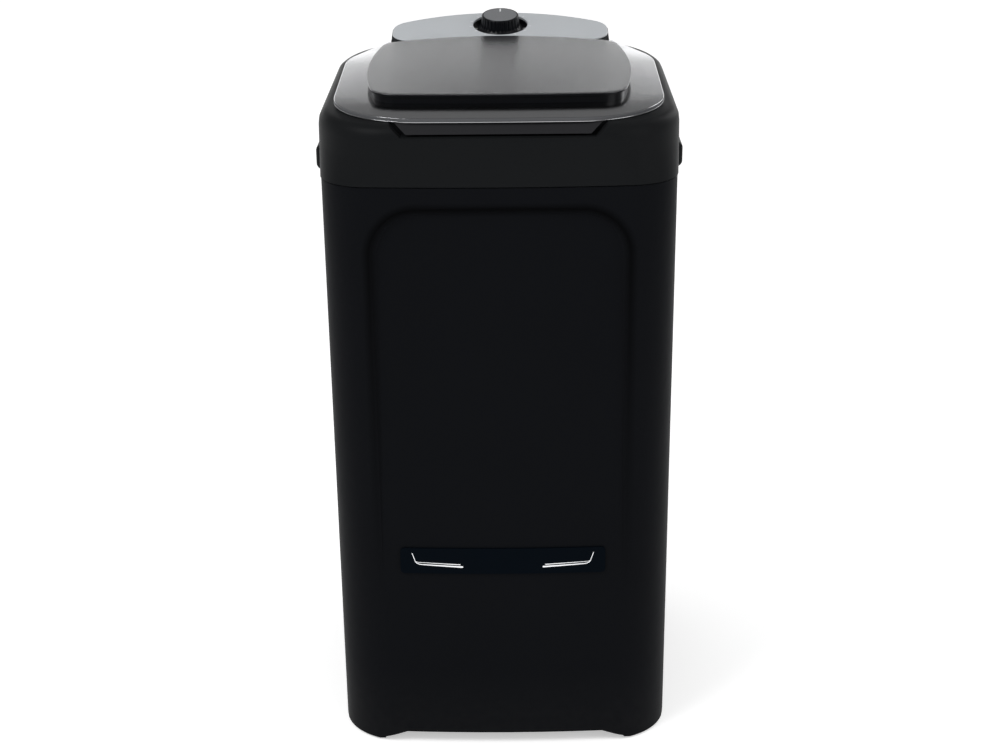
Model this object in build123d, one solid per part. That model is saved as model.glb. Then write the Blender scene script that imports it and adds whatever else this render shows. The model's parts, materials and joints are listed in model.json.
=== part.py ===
from build123d import *
import os
from math import acos, atan, atan2, copysign, cos, degrees, hypot, pi, radians, sin, sqrt, tan

os.makedirs("parts", exist_ok=True)

# A tub washer with a belt-driven agitator. Millimetres, +X right, +Y to the rear, +Z up.
# The origin is on the floor under the middle of the machine.

# Common fits
gap = 0.3               # between pieces that are only placed together
slide_gap = 0.8         # between pieces that slide past each other
shaft_fit = 0.05        # radial, a shaft in its bore

# Cabinet
seam_z = 841.0          # top edge of the cabinet
side_half = 240.0       # half width at the top edge
side_taper = 1.6        # each side draws in by this much down to the floor
front_reach = 258.6     # middle of the bowed front, at the top edge
rear_reach = 258.6
front_bow = 12.5        # how far the front bows over its whole width
cabinet_wall = 3.0
front_corner_top = 70.0
front_corner_foot = 90.0
rear_corner = 75.0
wall_foot_z = 2.5       # lower edge of the wall at the corner feet
skirt_z = 18.0          # lower edge of the wall between the feet
skirt_half = 143.0      # half width of that raised stretch
skirt_slope = 43.0      # the edge slopes down to the feet over this length
ledge_z = 21.0          # inner ledge that carries the bottom cover
ledge_width = 14.0
ledge_thick = 3.0

# Corner feet
foot_radius = 22.0
foot_bond = 4.0         # the foot's block reaches this far into the corner's wall
pad_radius = 17.0
pad_thick = 4.0
pad_stem_radius = 6.0
pad_stem_length = 12.0

# Arched recess in the front
recess_half = 175.0     # half width, level with the middle of its depth
recess_top_z = 811.0
recess_corner = 65.0
recess_depth = 8.0      # at the top, fading to nothing at recess_end_z
recess_end_z = 240.0
recess_edge_slope = 1.2

# Front badge
badge_half = 145.0
badge_low_z = 279.0
badge_high_z = 318.0
badge_thick = 2.4
badge_corner = 6.0
stripe_thick = 0.4
stripe_wide = 2.4
stripe_narrow = 1.2
stripe_step = 4.0

# Rear service cover
cover_half = 150.0
cover_low_z = 62.0
cover_high_z = 462.0
cover_thick = 2.6
cover_seat = 13.0       # overlap of the cover on its seat
cover_corner = 18.0
cover_inset = 2.4       # the cover lies this far inside the rear face
vent_count = 9
vent_half = 70.0
vent_height = 5.0
vent_pitch = 14.0
vent_low_z = 290.0

# Bottom cover
base_thick = 3.0
base_gap = 1.5
base_slot_count = 7
base_slot_length = 150.0
base_slot_width = 7.0
base_slot_pitch = 24.0

# Screws
screw_radius = 2.0
screw_head_radius = 4.2
screw_head = 2.0
screw_hole = 2.2
screw_length = 12.0
boss_radius = 5.4

# Lid frame plane: the lid and the collar's deck lean forward by lid_tilt degrees
lid_z = 941.45
lid_tilt = 2.88
lid_half = 225.0
lid_front = 238.0
lid_bow = 5.0
lid_front_corner = 116.0
lid_shoulder_y = 86.0   # where the sides start to draw in towards the rear
lid_tail_half = 166.4   # inner side of the two rear tails that flank the panel
lid_tail_y = 203.0
lid_rear_y = 152.0      # middle of the rear edge between the tails
lid_rear_bow = 20.0     # that edge bows to the rear by this much
lid_plate = 3.0
lid_lip = 6.0           # depth of the frame's outer lip
lid_lip_wall = 2.5
lid_side_radius = 120.0
tail_root_radius = 5.0   # inner corner between a tail and the rear edge

# Raised middle of the lid
hump_front = 168.0      # middle of its front edge
hump_bow = 6.0
hump_front_half = 168.0
hump_rear_half = 170.0
hump_side_bow = 16.5    # its sides bow out by this much between front and rear
hump_front_corner = 38.0
hump_rear_corner = 22.0
hump_rise = 13.0        # top of the cover over the frame
hump_top = 3.0          # thickness of the cover
band_inset = 4.0        # the black band stands inside the cover's edge
band_wall = 2.5
cover_skirt = 4.0

# Lid liner
liner_margin = 8.0
liner_thick = 2.5
skirt_drop = 20.0       # lower edge of the drip skirt under the frame plane
skirt_wall = 2.5
skirt_clear = 4.0       # around the drip skirt, inside the opening

# Lid hinge
hinge_y = 215.0
hinge_z = 934.0
pin_radius = 3.0
barrel_radius = 5.5
arm_width = 8.0
arm_depth = 8.0
arm_strip = 18.0        # joins the arm's root to the pan
ear_wall = 4.0
hinge_side_gap = 0.4
pocket_front = 1.0      # room ahead of the hinge arm's root
pocket_rear = 3.6       # room behind the barrel for the arm as it swings up
pocket_floor = 3.0      # room under the barrel
pocket_tall = 60.0      # the pocket is open to the sky

bumper_radius = 1.8
bumper_y = 0.0

# Lid grip flap in the finger notch
grip_half = 126.0       # where it meets the frame's plate, behind the lip
grip_wide_half = 136.0  # just under the lip
grip_low_half = 121.0
grip_lip_gap = 0.5
grip_low_z = 910.5
grip_thick = 2.5
grip_top_y = -232.6
grip_low_y = -247.0
grip_drop = 4.0         # it hangs straight this far before it slants forward

# Top collar
collar_half = 241.0
collar_front = 259.6
collar_rear = 259.6
collar_wall = 3.0
collar_seam_gap = 1.5   # shadow line between cabinet and collar
collar_top_corner = 110.0
collar_top_rear_corner = 180.0
collar_flare = 4.6      # at deck level the front is this much wider to each side
collar_waist = 5.0      # and the rear this much narrower
deck_drop = 6.6         # the deck lies this far under the frame plane
shoulder_levels = [(45.0, 0.0), (26.0, 0.1), (17.5, 1.2), (11.5, 4.0), (8.2, 7.8), (6.6, 13.0)]
shoulder_share = 0.25   # this much of the corners' growth comes above the lowest level

# Opening under the lid
opening_half = 203.0
opening_front = 214.0
opening_rear = 139.0
opening_corner = 102.0
chute_low_z = 832.0

# Finger notch in the collar's front
notch_low_half = 127.5
notch_low_z = 907.5
notch_slope = 1.05
notch_clear = 1.6       # between the grip flap and the notch's back wall
notch_floor = 3.0

# Side grip ribs
rib_proud = 7.5
rib_low_z = 842.5
rib_high_z = 878.0
rib_front_y = -165.0
rib_rear_y = 105.0
rib_round = 9.0

# Collar screws
side_boss_inset = 9.5
side_boss_y = [-110.0, 90.0]
rear_boss_x = [-110.0, 110.0]
rear_boss_inset = 10.0
boss_height = 30.0
boss_web = 3.0

# Control panel: its top leans forward by panel_tilt about the knob's well
well_y = 209.7
well_z = 973.3
panel_tilt = 12.1
panel_half = 163.0
panel_front_y = 165.0   # middle of its hollow front edge
panel_front_bow = 20.0  # its front corners reach this much further forward
panel_rear_y = 257.6
panel_shoulder_drop = 46.0   # its rear edge curves forward by this much at the sides
panel_front_corner = 7.0
panel_rear_corner = 28.0
fascia_inset = 1.0      # the fascia lies this far inside the base's edge
fascia_front_corner = 27.0
fascia_rear_corner = 34.0
fascia_thick = 3.0
panel_wall = 2.5
panel_seat = 2.0        # the base stands this far over the frame plane
well_radius = 41.5
well_depth = 9.0
well_floor = 3.0
platform_inset = 1.5
platform_depth = 22.0   # the platform's wall reaches this far under the frame plane

# Timer and knob
knob_skirt_radius = 33.0
knob_body_radius = 29.5
knob_top_radius = 27.0
knob_top = 15.5         # over the fascia
knob_clear = 0.8        # over the well's floor
knob_flutes = 28
flute_radius = 1.6
timer_shaft_radius = 3.0
timer_shaft_top = 9.0
timer_half = 28.0
timer_depth = 34.0
timer_terminal = 8.0
timer_screw_x = 37.5
timer_ear = 4.0
mark_count = 12
mark_radius = 45.2
mark_length = 4.0
mark_width = 1.6
mark_thick = 0.3

# Tub
tub_y = -34.0           # axis of the drive
tub_wall = 3.5
tub_mouth_half = 209.0
tub_mouth_depth = 186.0
tub_mouth_corner = 105.0
tub_floor_z = 352.0
tub_floor_half = 180.0
tub_floor_corner = 120.0
tub_top_z = 844.0
tub_flange_inset = 6.0
well_disc_radius = 158.0
well_disc_z = 340.0
tub_floor_thick = 4.0
rib_radius = 7.0
rib_top_z = 780.0
rib_count = 3
rib_pitch = 77.0
rib_lift = 25.0         # the ribs start this far over the floor

# Tub outlet and drain
outlet_x = -127.0
outlet_y = 93.0
outlet_radius = 10.4
outlet_bore = 8.0
outlet_low_z = 280.0
grate_radius = 19.0
grate_thick = 2.4
grate_slots = 5
grate_pitch = 5.6
grate_slot_half = 1.4
grate_slot_reach = 11.0
hose_wall = 3.0
hose_bend = 38.0
spigot_x = -95.0
spigot_z = 112.0
spigot_length = 24.0
cup_radius = 26.0
cup_depth = 26.0
hose_overlap = 20.0
spigot_flange = 2.0     # its flange is this much wider than the tube
clamp_width = 9.0
clamp_thick = 1.4

# Lint filter on the rear wall of the tub
filter_half = 52.0
filter_low_z = 660.0
filter_height = 130.0
filter_depth = 12.0
filter_standoff = 12.0   # from the tub's rear wall, to pass the splash wall above
filter_frame = 6.0
rail_wall = 3.0
rail_low = 20.0         # the rails run between these heights of the filter
rail_high = 100.0
rail_lip = 3.0          # they reach this far over its face
filter_tab_half = 15.0
filter_tab_rise = 10.0
filter_tab_thick = 4.0
filter_bar = 3.0
net_thick = 1.0
net_bars = 12
net_strand = 1.6

# Agitator and its shaft
agitator_radius = 150.0
agitator_gap = 3.0
agitator_thick = 8.0
fin_count = 6
fin_height = 18.0
fin_width = 14.0
fin_tip_width = 9.8
fin_inner = 25.0
fin_end = 10.0
fin_low = 8.0
hub_radius = 30.0
hub_height = 26.0
shaft_radius = 7.5
shaft_low_z = 192.0
cap_height = 6.0
agitator_screw_radius = 3.0
agitator_screw_length = 16.0

# Bearing housing
barrel_outer = 24.0
flange_radius = 60.0
flange_thick = 8.0
housing_low_z = 262.0
web_height = 28.0
neck_radius = 20.0
neck_height = 5.0
bearing_outer = 16.0
bearing_width = 11.0
seal_height = 6.0
housing_bolt_circle = 48.0
housing_bolt_radius = 3.0

# Belt drive
motor_x = 96.0
motor_y = 81.0
big_pitch = 88.0
ratio = 4.0
belt_thick = 7.0
belt_width = 10.0
groove_clear = 0.4
belt_z = 217.0
pulley_web = 6.0
pulley_rim = 5.0
pulley_hub_radius = 18.0
nut_radius = 11.0
nut_height = 8.0

# Motor
bracket_thick = 4.0
motor_radius = 62.0
shield_height = 22.0
shield_wall = 3.0
stator_radius = 60.0
stator_bore = 34.0
stator_low_z = 262.0
stator_height = 40.0
rotor_radius = 33.0
motor_shaft_radius = 6.0
winding_outer = 55.0
winding_inner = 39.0
winding_height = 12.0
fan_radius = 50.0
fan_height = 6.0
fan_gap = 3.0
motor_bolt_circle = 50.0

# Run capacitor, terminal block and leads
capacitor_x = 150.0
capacitor_y = 185.0
capacitor_radius = 18.0
capacitor_height = 72.0
strap_thick = 1.6
strap_width = 14.0
strap_z = 52.0
block_x = 40.0
block_y = 205.0
block_length = 60.0
block_depth = 24.0
block_height = 20.0
lead_radius = 4.0
lead_bend = 24.0
lead_setback = 16.0
gland_x = 95.0
gland_z = 112.0
gland_radius = 8.0
gland_bore = 4.5
gland_flange = 12.0
gland_flange_thick = 2.0
clip_heights = [560.0, 700.0]

# Worked out from the sizes above
LID = Location((0, 0, lid_z), (lid_tilt, 0, 0))
PANEL = Location((0, well_y, well_z), (panel_tilt, 0, 0))
bow_radius = (side_half ** 2 + front_bow ** 2) / (2 * front_bow)
plate_top = well_disc_z - tub_floor_thick
bracket_low_z = plate_top - flange_thick - bracket_thick
small_pitch = big_pitch / ratio
motor_distance = hypot(motor_x, motor_y - tub_y)
cover_face_y = rear_reach - cover_inset
notch_back_y = grip_top_y + grip_thick + notch_clear
rear_inner_y = rear_reach - cabinet_wall
LOW = (Align.CENTER, Align.CENTER, Align.MIN)
OUTWARD = (Align.MIN, Align.CENTER, Align.MIN)


def save(name, shape):
    """Write one sub-part, keeping its separate solids separate."""
    solids = list(shape.solids())
    export_step(solids[0] if len(solids) == 1 else Compound(solids), f"parts/{name}.step")


def post(x, y, z_low, z_high, radius):
    """Upright cylinder between two heights."""
    return Pos(x, y, z_low) * Cylinder(radius, z_high - z_low, align=LOW)


def ring(x, y, z_low, z_high, outer, inner):
    """Upright tube between two heights."""
    return post(x, y, z_low, z_high, outer) - post(x, y, z_low - 1, z_high + 1, inner)


def block(x_low, x_high, y_low, y_high, z_low, z_high):
    """Box between two corners."""
    size = (x_high - x_low, y_high - y_low, z_high - z_low)
    return Pos((x_low + x_high) / 2, (y_low + y_high) / 2, (z_low + z_high) / 2) * Box(*size)


def many(shapes):
    """Several separate solids as one shape."""
    return Compound([solid for shape in shapes for solid in shape.solids()])


def screw(head_up=True, length=screw_length, radius=screw_radius, head_radius=screw_head_radius):
    """Screw with its head's seat at the origin and its shank pointing down, or up when turned over."""
    body = Cylinder(head_radius, screw_head, align=LOW)
    body += Pos(0, 0, -length) * Cylinder(radius, length, align=LOW)
    slot = Pos(0, 0, screw_head) * Box(1.2 * head_radius, 0.9, 1.6)
    body = body - slot - Rot(0, 0, 90) * slot
    return body if head_up else Rot(180, 0, 0) * body


def bowed_outline(half, front, rear, bow, front_corner, back_corner, waist=0):
    """Plan outline with straight sides and back, a front that bows forward, and a rear narrower by waist."""
    corner_y = bow - front
    back = half - waist
    front_arc = ThreePointArc((-half, corner_y), (0, -front), (half, corner_y))
    rest = Polyline((half, corner_y), (back, rear), (-back, rear), (-half, corner_y))
    face = make_face(front_arc + rest)
    face = fillet(face.vertices().sort_by(Axis.Y)[:2], front_corner)
    return fillet(face.vertices().sort_by(Axis.Y)[-2:], back_corner)


def cabinet_outline(z, inset):
    """Outline of the cabinet at a height, drawn in by inset."""
    low = 1 - z / seam_z
    corner = front_corner_top + (front_corner_foot - front_corner_top) * low
    shrink = side_taper * low + inset
    return bowed_outline(side_half - shrink, front_reach - shrink, rear_reach - inset,
                         front_bow, corner - inset, rear_corner - inset)


def cabinet_block(inset, z_low, z_high):
    """Solid of the cabinet's outer form between two heights, drawn in by inset."""
    return loft([Pos(0, 0, z) * cabinet_outline(z, inset) for z in (z_low, z_high)], ruled=True)


def upright_face(y, half, z_low, z_high, corner):
    """Upright rectangle facing the front, with its two upper corners rounded."""
    face = Pos(0, (z_low + z_high) / 2) * Rectangle(2 * half, z_high - z_low)
    face = fillet(face.vertices().sort_by(Axis.Y)[-2:], corner)
    return face.moved(Plane.XZ.offset(-y).location)


def recess_floor_y(z):
    """Middle of the recess floor at a height: deepest at the top, level with the front at recess_end_z."""
    front = front_reach - side_taper * (1 - z / seam_z)
    depth = recess_depth * (z - recess_end_z) / (recess_top_z - recess_end_z)
    return depth - front


def ahead_of_floor(z_low, z_high, back):
    """Everything ahead of the recess floor, with that floor moved back."""
    far_y = -front_reach - 60
    half = recess_half + 20
    sag = half ** 2 / (2 * bow_radius)
    faces = []
    for z in (z_low, z_high):
        y = recess_floor_y(z) + back
        arc = ThreePointArc((-half, y + sag), (0, y), (half, y + sag))
        rest = Polyline((half, y + sag), (half, far_y), (-half, far_y), (-half, y + sag))
        faces.append(Pos(0, 0, z) * make_face(arc + rest))
    return loft(faces, ruled=True)


def front_recess(grow):
    """Cutter of the arched recess with its sloping edges, grown by the wall for the inner skin."""
    middle_y = recess_depth / 2 - front_reach
    deepest = recess_depth + recess_half ** 2 / (2 * bow_radius) + cabinet_wall
    wide = grow - deepest * recess_edge_slope
    arch = upright_face(middle_y + deepest, recess_half + wide, recess_end_z - 40,
                        recess_top_z + wide, recess_corner + wide)
    cutter = extrude(arch.faces()[0], amount=deepest + recess_depth, dir=(0, -1, 0),
                     taper=-degrees(atan(recess_edge_slope)))
    return cutter & ahead_of_floor(recess_end_z - 60, recess_top_z + 40, grow)


def foot_places():
    """Middle of each foot, close inside the four rounded corners."""
    places = []
    half = side_half - side_taper
    sag = (half - front_corner_foot) ** 2 / (2 * bow_radius)
    front = (front_corner_foot, front_reach - side_taper - sag, -1)
    rear = (rear_corner, rear_reach, 1)
    for corner, reach, turn in (front, rear):
        out = (corner - cabinet_wall - foot_radius + foot_bond) / sqrt(2)
        for side in (-1, 1):
            places.append((side * (half - corner + out), turn * (reach - corner + out)))
    return places


def skirt_cutter(half, reach_low, reach_high, turn):
    """Trapezoid that raises the lower edge between two feet, on both opposite sides."""
    low = -10.0
    run = skirt_slope * (skirt_z - low) / (skirt_z - wall_foot_z)
    edge = Polyline((-half - run, low), (-half, skirt_z), (half, skirt_z), (half + run, low), close=True)
    face = make_face(edge).moved(Plane.XZ.location)
    cutter = extrude(face, amount=reach_high) - extrude(face, amount=reach_low)
    return Rot(0, 0, turn) * cutter + Rot(0, 0, turn + 180) * cutter


def cover_plate(grow, y_low, y_high):
    """Upright rounded plate on the rear of the machine."""
    face = Pos(0, (cover_low_z + cover_high_z) / 2) * RectangleRounded(
        2 * (cover_half + grow), cover_high_z - cover_low_z + 2 * grow, cover_corner + grow)
    plate = extrude(face, amount=y_high - y_low)
    return plate.moved(Location((0, y_high, 0), (90, 0, 0)))


def cover_screw_places():
    """Screw places in the seat of the rear cover."""
    x = cover_half - cover_seat / 2
    middle = (cover_low_z + cover_high_z) / 2
    rise = (cover_high_z - cover_low_z) / 2 - cover_corner
    return [(sx * x, z) for sx in (-1, 1) for z in (middle - rise, middle, middle + rise)]


def collar_screw_places():
    """Places of the screws that join cabinet, tub flange and collar."""
    sides = [(sx * (side_half - side_boss_inset), y) for sx in (-1, 1) for y in side_boss_y]
    return sides + [(x, rear_reach - rear_boss_inset) for x in rear_boss_x]


def cabinet():
    shell = cabinet_block(0, wall_foot_z, seam_z) - front_recess(0)
    room = cabinet_block(cabinet_wall, ledge_z + ledge_thick, seam_z - ledge_thick)
    shell -= room - front_recess(cabinet_wall)
    shell -= cabinet_block(cabinet_wall, 0, ledge_z)
    shell -= cabinet_block(ledge_width, 0, seam_z + 5)
    outer = cabinet_block(0, wall_foot_z, seam_z)
    shell -= skirt_cutter(skirt_half, front_reach - ledge_width, front_reach + 20, 0)
    shell -= skirt_cutter(skirt_half, side_half - ledge_width, side_half + 20, 90)
    for x, y in foot_places():
        shell += post(x, y, pad_thick, ledge_z + ledge_thick, foot_radius) & outer
        shell -= post(x, y, 0, pad_thick, pad_radius + gap)
        shell -= post(x, y, 0, pad_thick + pad_stem_length + 1, pad_stem_radius + gap / 2)
    shell += cover_plate(5, cover_face_y - cover_thick - 4, rear_reach) & outer
    shell -= cover_plate(gap, cover_face_y - cover_thick - 0.1, rear_reach + 5)
    shell -= cover_plate(-cover_seat, rear_reach - 30, rear_reach + 5)
    for x, z in cover_screw_places():
        shell -= Pos(x, rear_reach, z) * Rot(90, 0, 0) * Cylinder(screw_radius + 0.05, 40)
    for x, y in collar_screw_places():
        shell -= post(x, y, seam_z - 10, seam_z + 5, screw_hole)
    return shell


def foot_pads():
    pads = []
    for x, y in foot_places():
        pads.append(post(x, y, 0, pad_thick, pad_radius)
                    + post(x, y, pad_thick, pad_thick + pad_stem_length, pad_stem_radius))
    return many(pads)


def badge_band(half, z_low, z_high, corner, front, back):
    """Strip that follows the bowed front between two depths before the recess floor."""
    face = Pos(0, (z_low + z_high) / 2) * RectangleRounded(2 * half, z_high - z_low, corner)
    strip = extrude(face.moved(Plane.XZ.location), amount=front_reach + 50)
    strip -= block(-half - 1, half + 1, -front_reach + 40, 5, z_low - 1, z_high + 1)
    return (strip & ahead_of_floor(badge_low_z - 20, badge_high_z + 20, -back)) \
        - ahead_of_floor(badge_low_z - 30, badge_high_z + 30, -front)


def front_badge():
    return badge_band(badge_half, badge_low_z, badge_high_z, badge_corner, badge_thick, 0.1)


def badge_stripes():
    """A wide and a narrow stripe on each side of the bare middle."""
    skin = badge_band(badge_half, badge_low_z, badge_high_z, badge_corner, badge_thick + stripe_thick,
                      badge_thick + 0.05)
    middle = (badge_low_z + badge_high_z) / 2
    top = badge_high_z - middle - 6
    low = badge_low_z - middle + 8
    stripes = []
    for lift, width, inset in ((0, stripe_wide, 0), (stripe_step, stripe_narrow, 3.5)):
        route = Polyline((badge_half - 17 - inset, top), (badge_half - 22 - inset, low + lift + 8),
                         (badge_half - 32 - inset, low + lift + 3), (badge_half - 88, low + lift))
        face = trace(route, line_width=width).moved(Plane.XZ.location)
        bar = Pos(0, 0, middle) * extrude(face, amount=front_reach + 50)
        stripes.append(bar & skin)
    return many(stripes + [mirror(shape, Plane.YZ) for shape in stripes])


def rear_cover():
    plate = cover_plate(0, cover_face_y - cover_thick, cover_face_y)
    for index in range(vent_count):
        z = vent_low_z + index * vent_pitch
        for side in (-1, 1):
            plate -= Pos(side * (vent_half + 10) * 0.75, cover_face_y, z) * Box(vent_half, 20, vent_height)
    back_y = cover_face_y - cup_depth
    cup = Pos(spigot_x, cover_face_y, spigot_z) * Rot(90, 0, 0)
    plate += cup * Cylinder(cup_radius + panel_wall, cup_depth + panel_wall, align=LOW)
    plate -= cup * Pos(0, 0, -5) * Cylinder(cup_radius, cup_depth + 5, align=LOW)
    plate -= Pos(spigot_x, back_y, spigot_z) * Rot(90, 0, 0) * Cylinder(outlet_radius + gap / 2, 20)
    plate -= Pos(gland_x, cover_face_y, gland_z) * Rot(90, 0, 0) * Cylinder(gland_radius + 0.1, 20)
    for x, z in cover_screw_places():
        plate -= Pos(x, cover_face_y, z) * Rot(90, 0, 0) * Cylinder(screw_hole, 20)
    return plate


def base_screw_places():
    """Screw places along the inner ledge."""
    x = side_half - ledge_width + 4
    return [(sx * x, y) for sx in (-1, 1) for y in (-100.0, 100.0)]


def bottom_cover():
    z_low = ledge_z + ledge_thick
    plate = cabinet_block(cabinet_wall + base_gap, z_low, z_low + base_thick)
    for index in range(base_slot_count):
        x = (index - (base_slot_count - 1) / 2) * base_slot_pitch
        slot = extrude(SlotOverall(base_slot_length, base_slot_width, rotation=90), amount=20)
        plate -= Pos(x, tub_y - 60, z_low - 5) * slot
    for x, y in base_screw_places():
        plate -= post(x, y, z_low - 1, z_low + base_thick + 1, screw_hole)
    return plate


def collar_block(inset, z_low):
    """Solid of the collar's outer form from z_low up to its deck, drawn in by inset."""
    def size(share, shrink):
        corner = front_corner_top + (collar_top_corner - front_corner_top) * share
        back = rear_corner + (collar_top_rear_corner - rear_corner) * share
        flare = collar_flare * share
        return bowed_outline(collar_half + flare - shrink, collar_front - shrink, collar_rear - shrink,
                             front_bow, corner - shrink, back - shrink, flare + collar_waist * share)
    sections = [Pos(0, 0, z_low) * size(0, inset)]
    for drop, shrink in shoulder_levels:
        share = 1 - shoulder_share * (drop - deck_drop) / (shoulder_levels[0][0] - deck_drop)
        level = drop + inset
        sections.append(LID * Pos(0, -level * sin(radians(lid_tilt)), -level) * size(share, shrink + inset))
    body = loft(sections[:2], ruled=True)
    for low, high in zip(sections[1:-1], sections[2:]):
        body += loft([low, high], ruled=True)
    return body


def opening_prism(grow, z_low, z_high):
    """Upright prism of the lid opening, grown all round."""
    depth = opening_front + opening_rear
    face = RectangleRounded(2 * (opening_half + grow), depth + 2 * grow, opening_corner + grow)
    return Pos(0, (opening_rear - opening_front) / 2, z_low) * extrude(face, amount=z_high - z_low)


def panel_outline(inset, stretch, front_corner=panel_front_corner, rear_corner=panel_rear_corner):
    """Outline of the control panel about its well; stretch lays the plan outline on the leaning top."""
    front = (panel_front_y - well_y) * stretch + inset
    rear = (panel_rear_y - well_y) * stretch - inset
    half = panel_half - inset
    side = rear - panel_shoulder_drop
    corner = front - panel_front_bow * stretch
    back_arc = ThreePointArc((-half, side), (0, rear), (half, side))
    front_arc = ThreePointArc((half, corner), (0, front), (-half, corner))
    flanks = Line((half, side), (half, corner)) + Line((-half, corner), (-half, side))
    face = make_face(back_arc + front_arc + flanks)
    face = fillet(face.vertices().sort_by(Axis.Y)[:2], front_corner - inset)
    return fillet(face.vertices().sort_by(Axis.Y)[-2:], rear_corner - inset)


def panel_slab(w_low, w_high):
    """Plate on the leaning top of the panel."""
    face = panel_outline(fascia_inset, 1 / cos(radians(panel_tilt)), fascia_front_corner, fascia_rear_corner)
    return PANEL * Pos(0, 0, w_low) * extrude(face, amount=w_high - w_low)


def panel_column(inset, w_high):
    """Upright prism of the panel's plan outline, cut off parallel to the leaning top."""
    column = Pos(0, well_y, well_z - 120) * extrude(panel_outline(inset, 1.0), amount=240)
    return column & (PANEL * Pos(0, 0, w_high - 400) * Box(700, 700, 400, align=LOW))


def upper_half(w):
    """Everything above a plane that is parallel to the lid frame."""
    return LID * Pos(0, 0, w) * Box(700, 700, 300, align=LOW)


def lower_half(w):
    """Everything below a plane that is parallel to the lid frame."""
    return LID * Pos(0, 0, w - 300) * Box(700, 700, 300, align=LOW)


def hinge_pocket(side, grow):
    """Room for one hinge arm, or with grow the walls around it."""
    inner = lid_tail_half - hinge_side_gap - grow
    outer = lid_tail_half + arm_width + hinge_side_gap + grow
    low = hinge_z - barrel_radius - pocket_floor - grow
    rear = hinge_y + barrel_radius + pocket_rear + grow
    x_low, x_high = sorted((side * inner, side * outer))
    if grow:
        top = hinge_z + barrel_radius - 1
        return block(x_low, x_high, opening_rear - 2, rear, low, top)
    return block(x_low, x_high, opening_rear + collar_wall + pocket_front, rear, low, low + pocket_tall)


def top_collar():
    low_z = seam_z + collar_seam_gap
    outer = collar_block(0, low_z)
    inner = collar_block(collar_wall, low_z - 1)
    shell = outer - inner
    # side grip ribs, hollow like the wall behind them
    reach = rib_proud + 2 * rib_round
    middle = ((rib_front_y + rib_rear_y) / 2, (rib_low_z + rib_high_z) / 2)
    for side in (-1, 1):
        rib = Box(reach, rib_rear_y - rib_front_y, rib_high_z - rib_low_z)
        rib = fillet(rib.edges(), rib_round)
        x = side * (collar_half + rib_proud - reach / 2)
        shell += Pos(x, *middle) * rib - inner
    # splash wall around the opening
    shell += opening_prism(collar_wall, chute_low_z, lid_z + 40) & lower_half(-deck_drop)
    shell -= opening_prism(0, chute_low_z - 5, lid_z + 60)
    # finger notch
    room = block(-notch_low_half - 30, notch_low_half + 30, -collar_front, notch_back_y + notch_floor,
                 notch_low_z - notch_floor, lid_z)
    shell += room & outer
    shell -= notch_cutter()
    # platform of the control panel
    seat = panel_column(platform_inset, 0) & lower_half(panel_seat - 0.1)
    shell += seat & upper_half(-platform_depth)
    shell -= panel_column(platform_inset + collar_wall, 20) & upper_half(-platform_depth - 1)
    # hinge pockets on both sides of the platform
    for side in (-1, 1):
        walls = hinge_pocket(side, ear_wall) - opening_prism(1, chute_low_z, lid_z + 60)
        shell += walls & lower_half(-deck_drop)
        shell -= hinge_pocket(side, 0)
    bore = Cylinder(pin_radius + shaft_fit, 2 * lid_half)
    shell -= Pos(0, hinge_y, hinge_z) * Rot(0, 90, 0) * bore
    for x, y in collar_screw_places():
        boss = post(x, y, tub_top_z, tub_top_z + boss_height, boss_radius)
        reach = boss_radius + 4
        middle_z = tub_top_z + boss_height / 2
        if abs(x) > abs(y):
            boss += Pos(copysign(abs(x) + reach, x), y, middle_z) * Box(2 * reach, boss_web, boss_height)
        else:
            boss += Pos(x, y + reach, middle_z) * Box(boss_web, 2 * reach, boss_height)
        shell += boss & outer
        shell -= post(x, y, tub_top_z - 1, tub_top_z + screw_length, screw_radius + 0.05)
    return shell


def notch_cutter():
    """Trapezoid that opens the collar's front for the fingers."""
    top = lid_z + 10
    wide = notch_low_half + notch_slope * (top - notch_low_z)
    edge = Polyline((-wide, top), (-notch_low_half, notch_low_z), (notch_low_half, notch_low_z), (wide, top),
                    close=True)
    face = make_face(edge).moved(Plane.XZ.location)
    return extrude(face, amount=collar_front + 20) - extrude(face, amount=-notch_back_y)


def case_screws():
    """Screws of the rear cover, the bottom cover and the collar."""
    rear = [Pos(x, cover_face_y, z) * Rot(-90, 0, 0) * screw(length=7.0) for x, z in cover_screw_places()]
    top = ledge_z + ledge_thick + base_thick
    base = [Pos(x, y, top) * screw(length=base_thick - 0.2) for x, y in base_screw_places()]
    rim = [Pos(x, y, seam_z - ledge_thick) * screw(head_up=False) for x, y in collar_screw_places()]
    return many(rear + base + rim)


def tailed_outline(half, front, bow, front_corner, shoulder_y, tail_half, tail_y, rear_y, side_radius):
    """Lid outline: bowed front, sides that draw in to two tails, and a bowed rear edge between them."""
    corner_y = bow - front
    root_y = rear_y - lid_rear_bow
    arc = ThreePointArc((-half, corner_y), (0, -front), (half, corner_y))
    right = Polyline((half, corner_y), (half, shoulder_y), (tail_half, tail_y), (tail_half, root_y))
    rear_arc = ThreePointArc((tail_half, root_y), (0, rear_y), (-tail_half, root_y))
    left = Polyline((-tail_half, root_y), (-tail_half, tail_y), (-half, shoulder_y), (-half, corner_y))
    face = make_face(arc + right + rear_arc + left)
    face = fillet(face.vertices().sort_by(Axis.Y)[:2], front_corner)
    sides = [v for v in face.vertices() if abs(v.Y - shoulder_y) < 0.01]
    face = fillet(sides, side_radius)
    roots = [v for v in face.vertices() if abs(v.Y - root_y) < 0.01]
    return fillet(roots, tail_root_radius)


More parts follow.
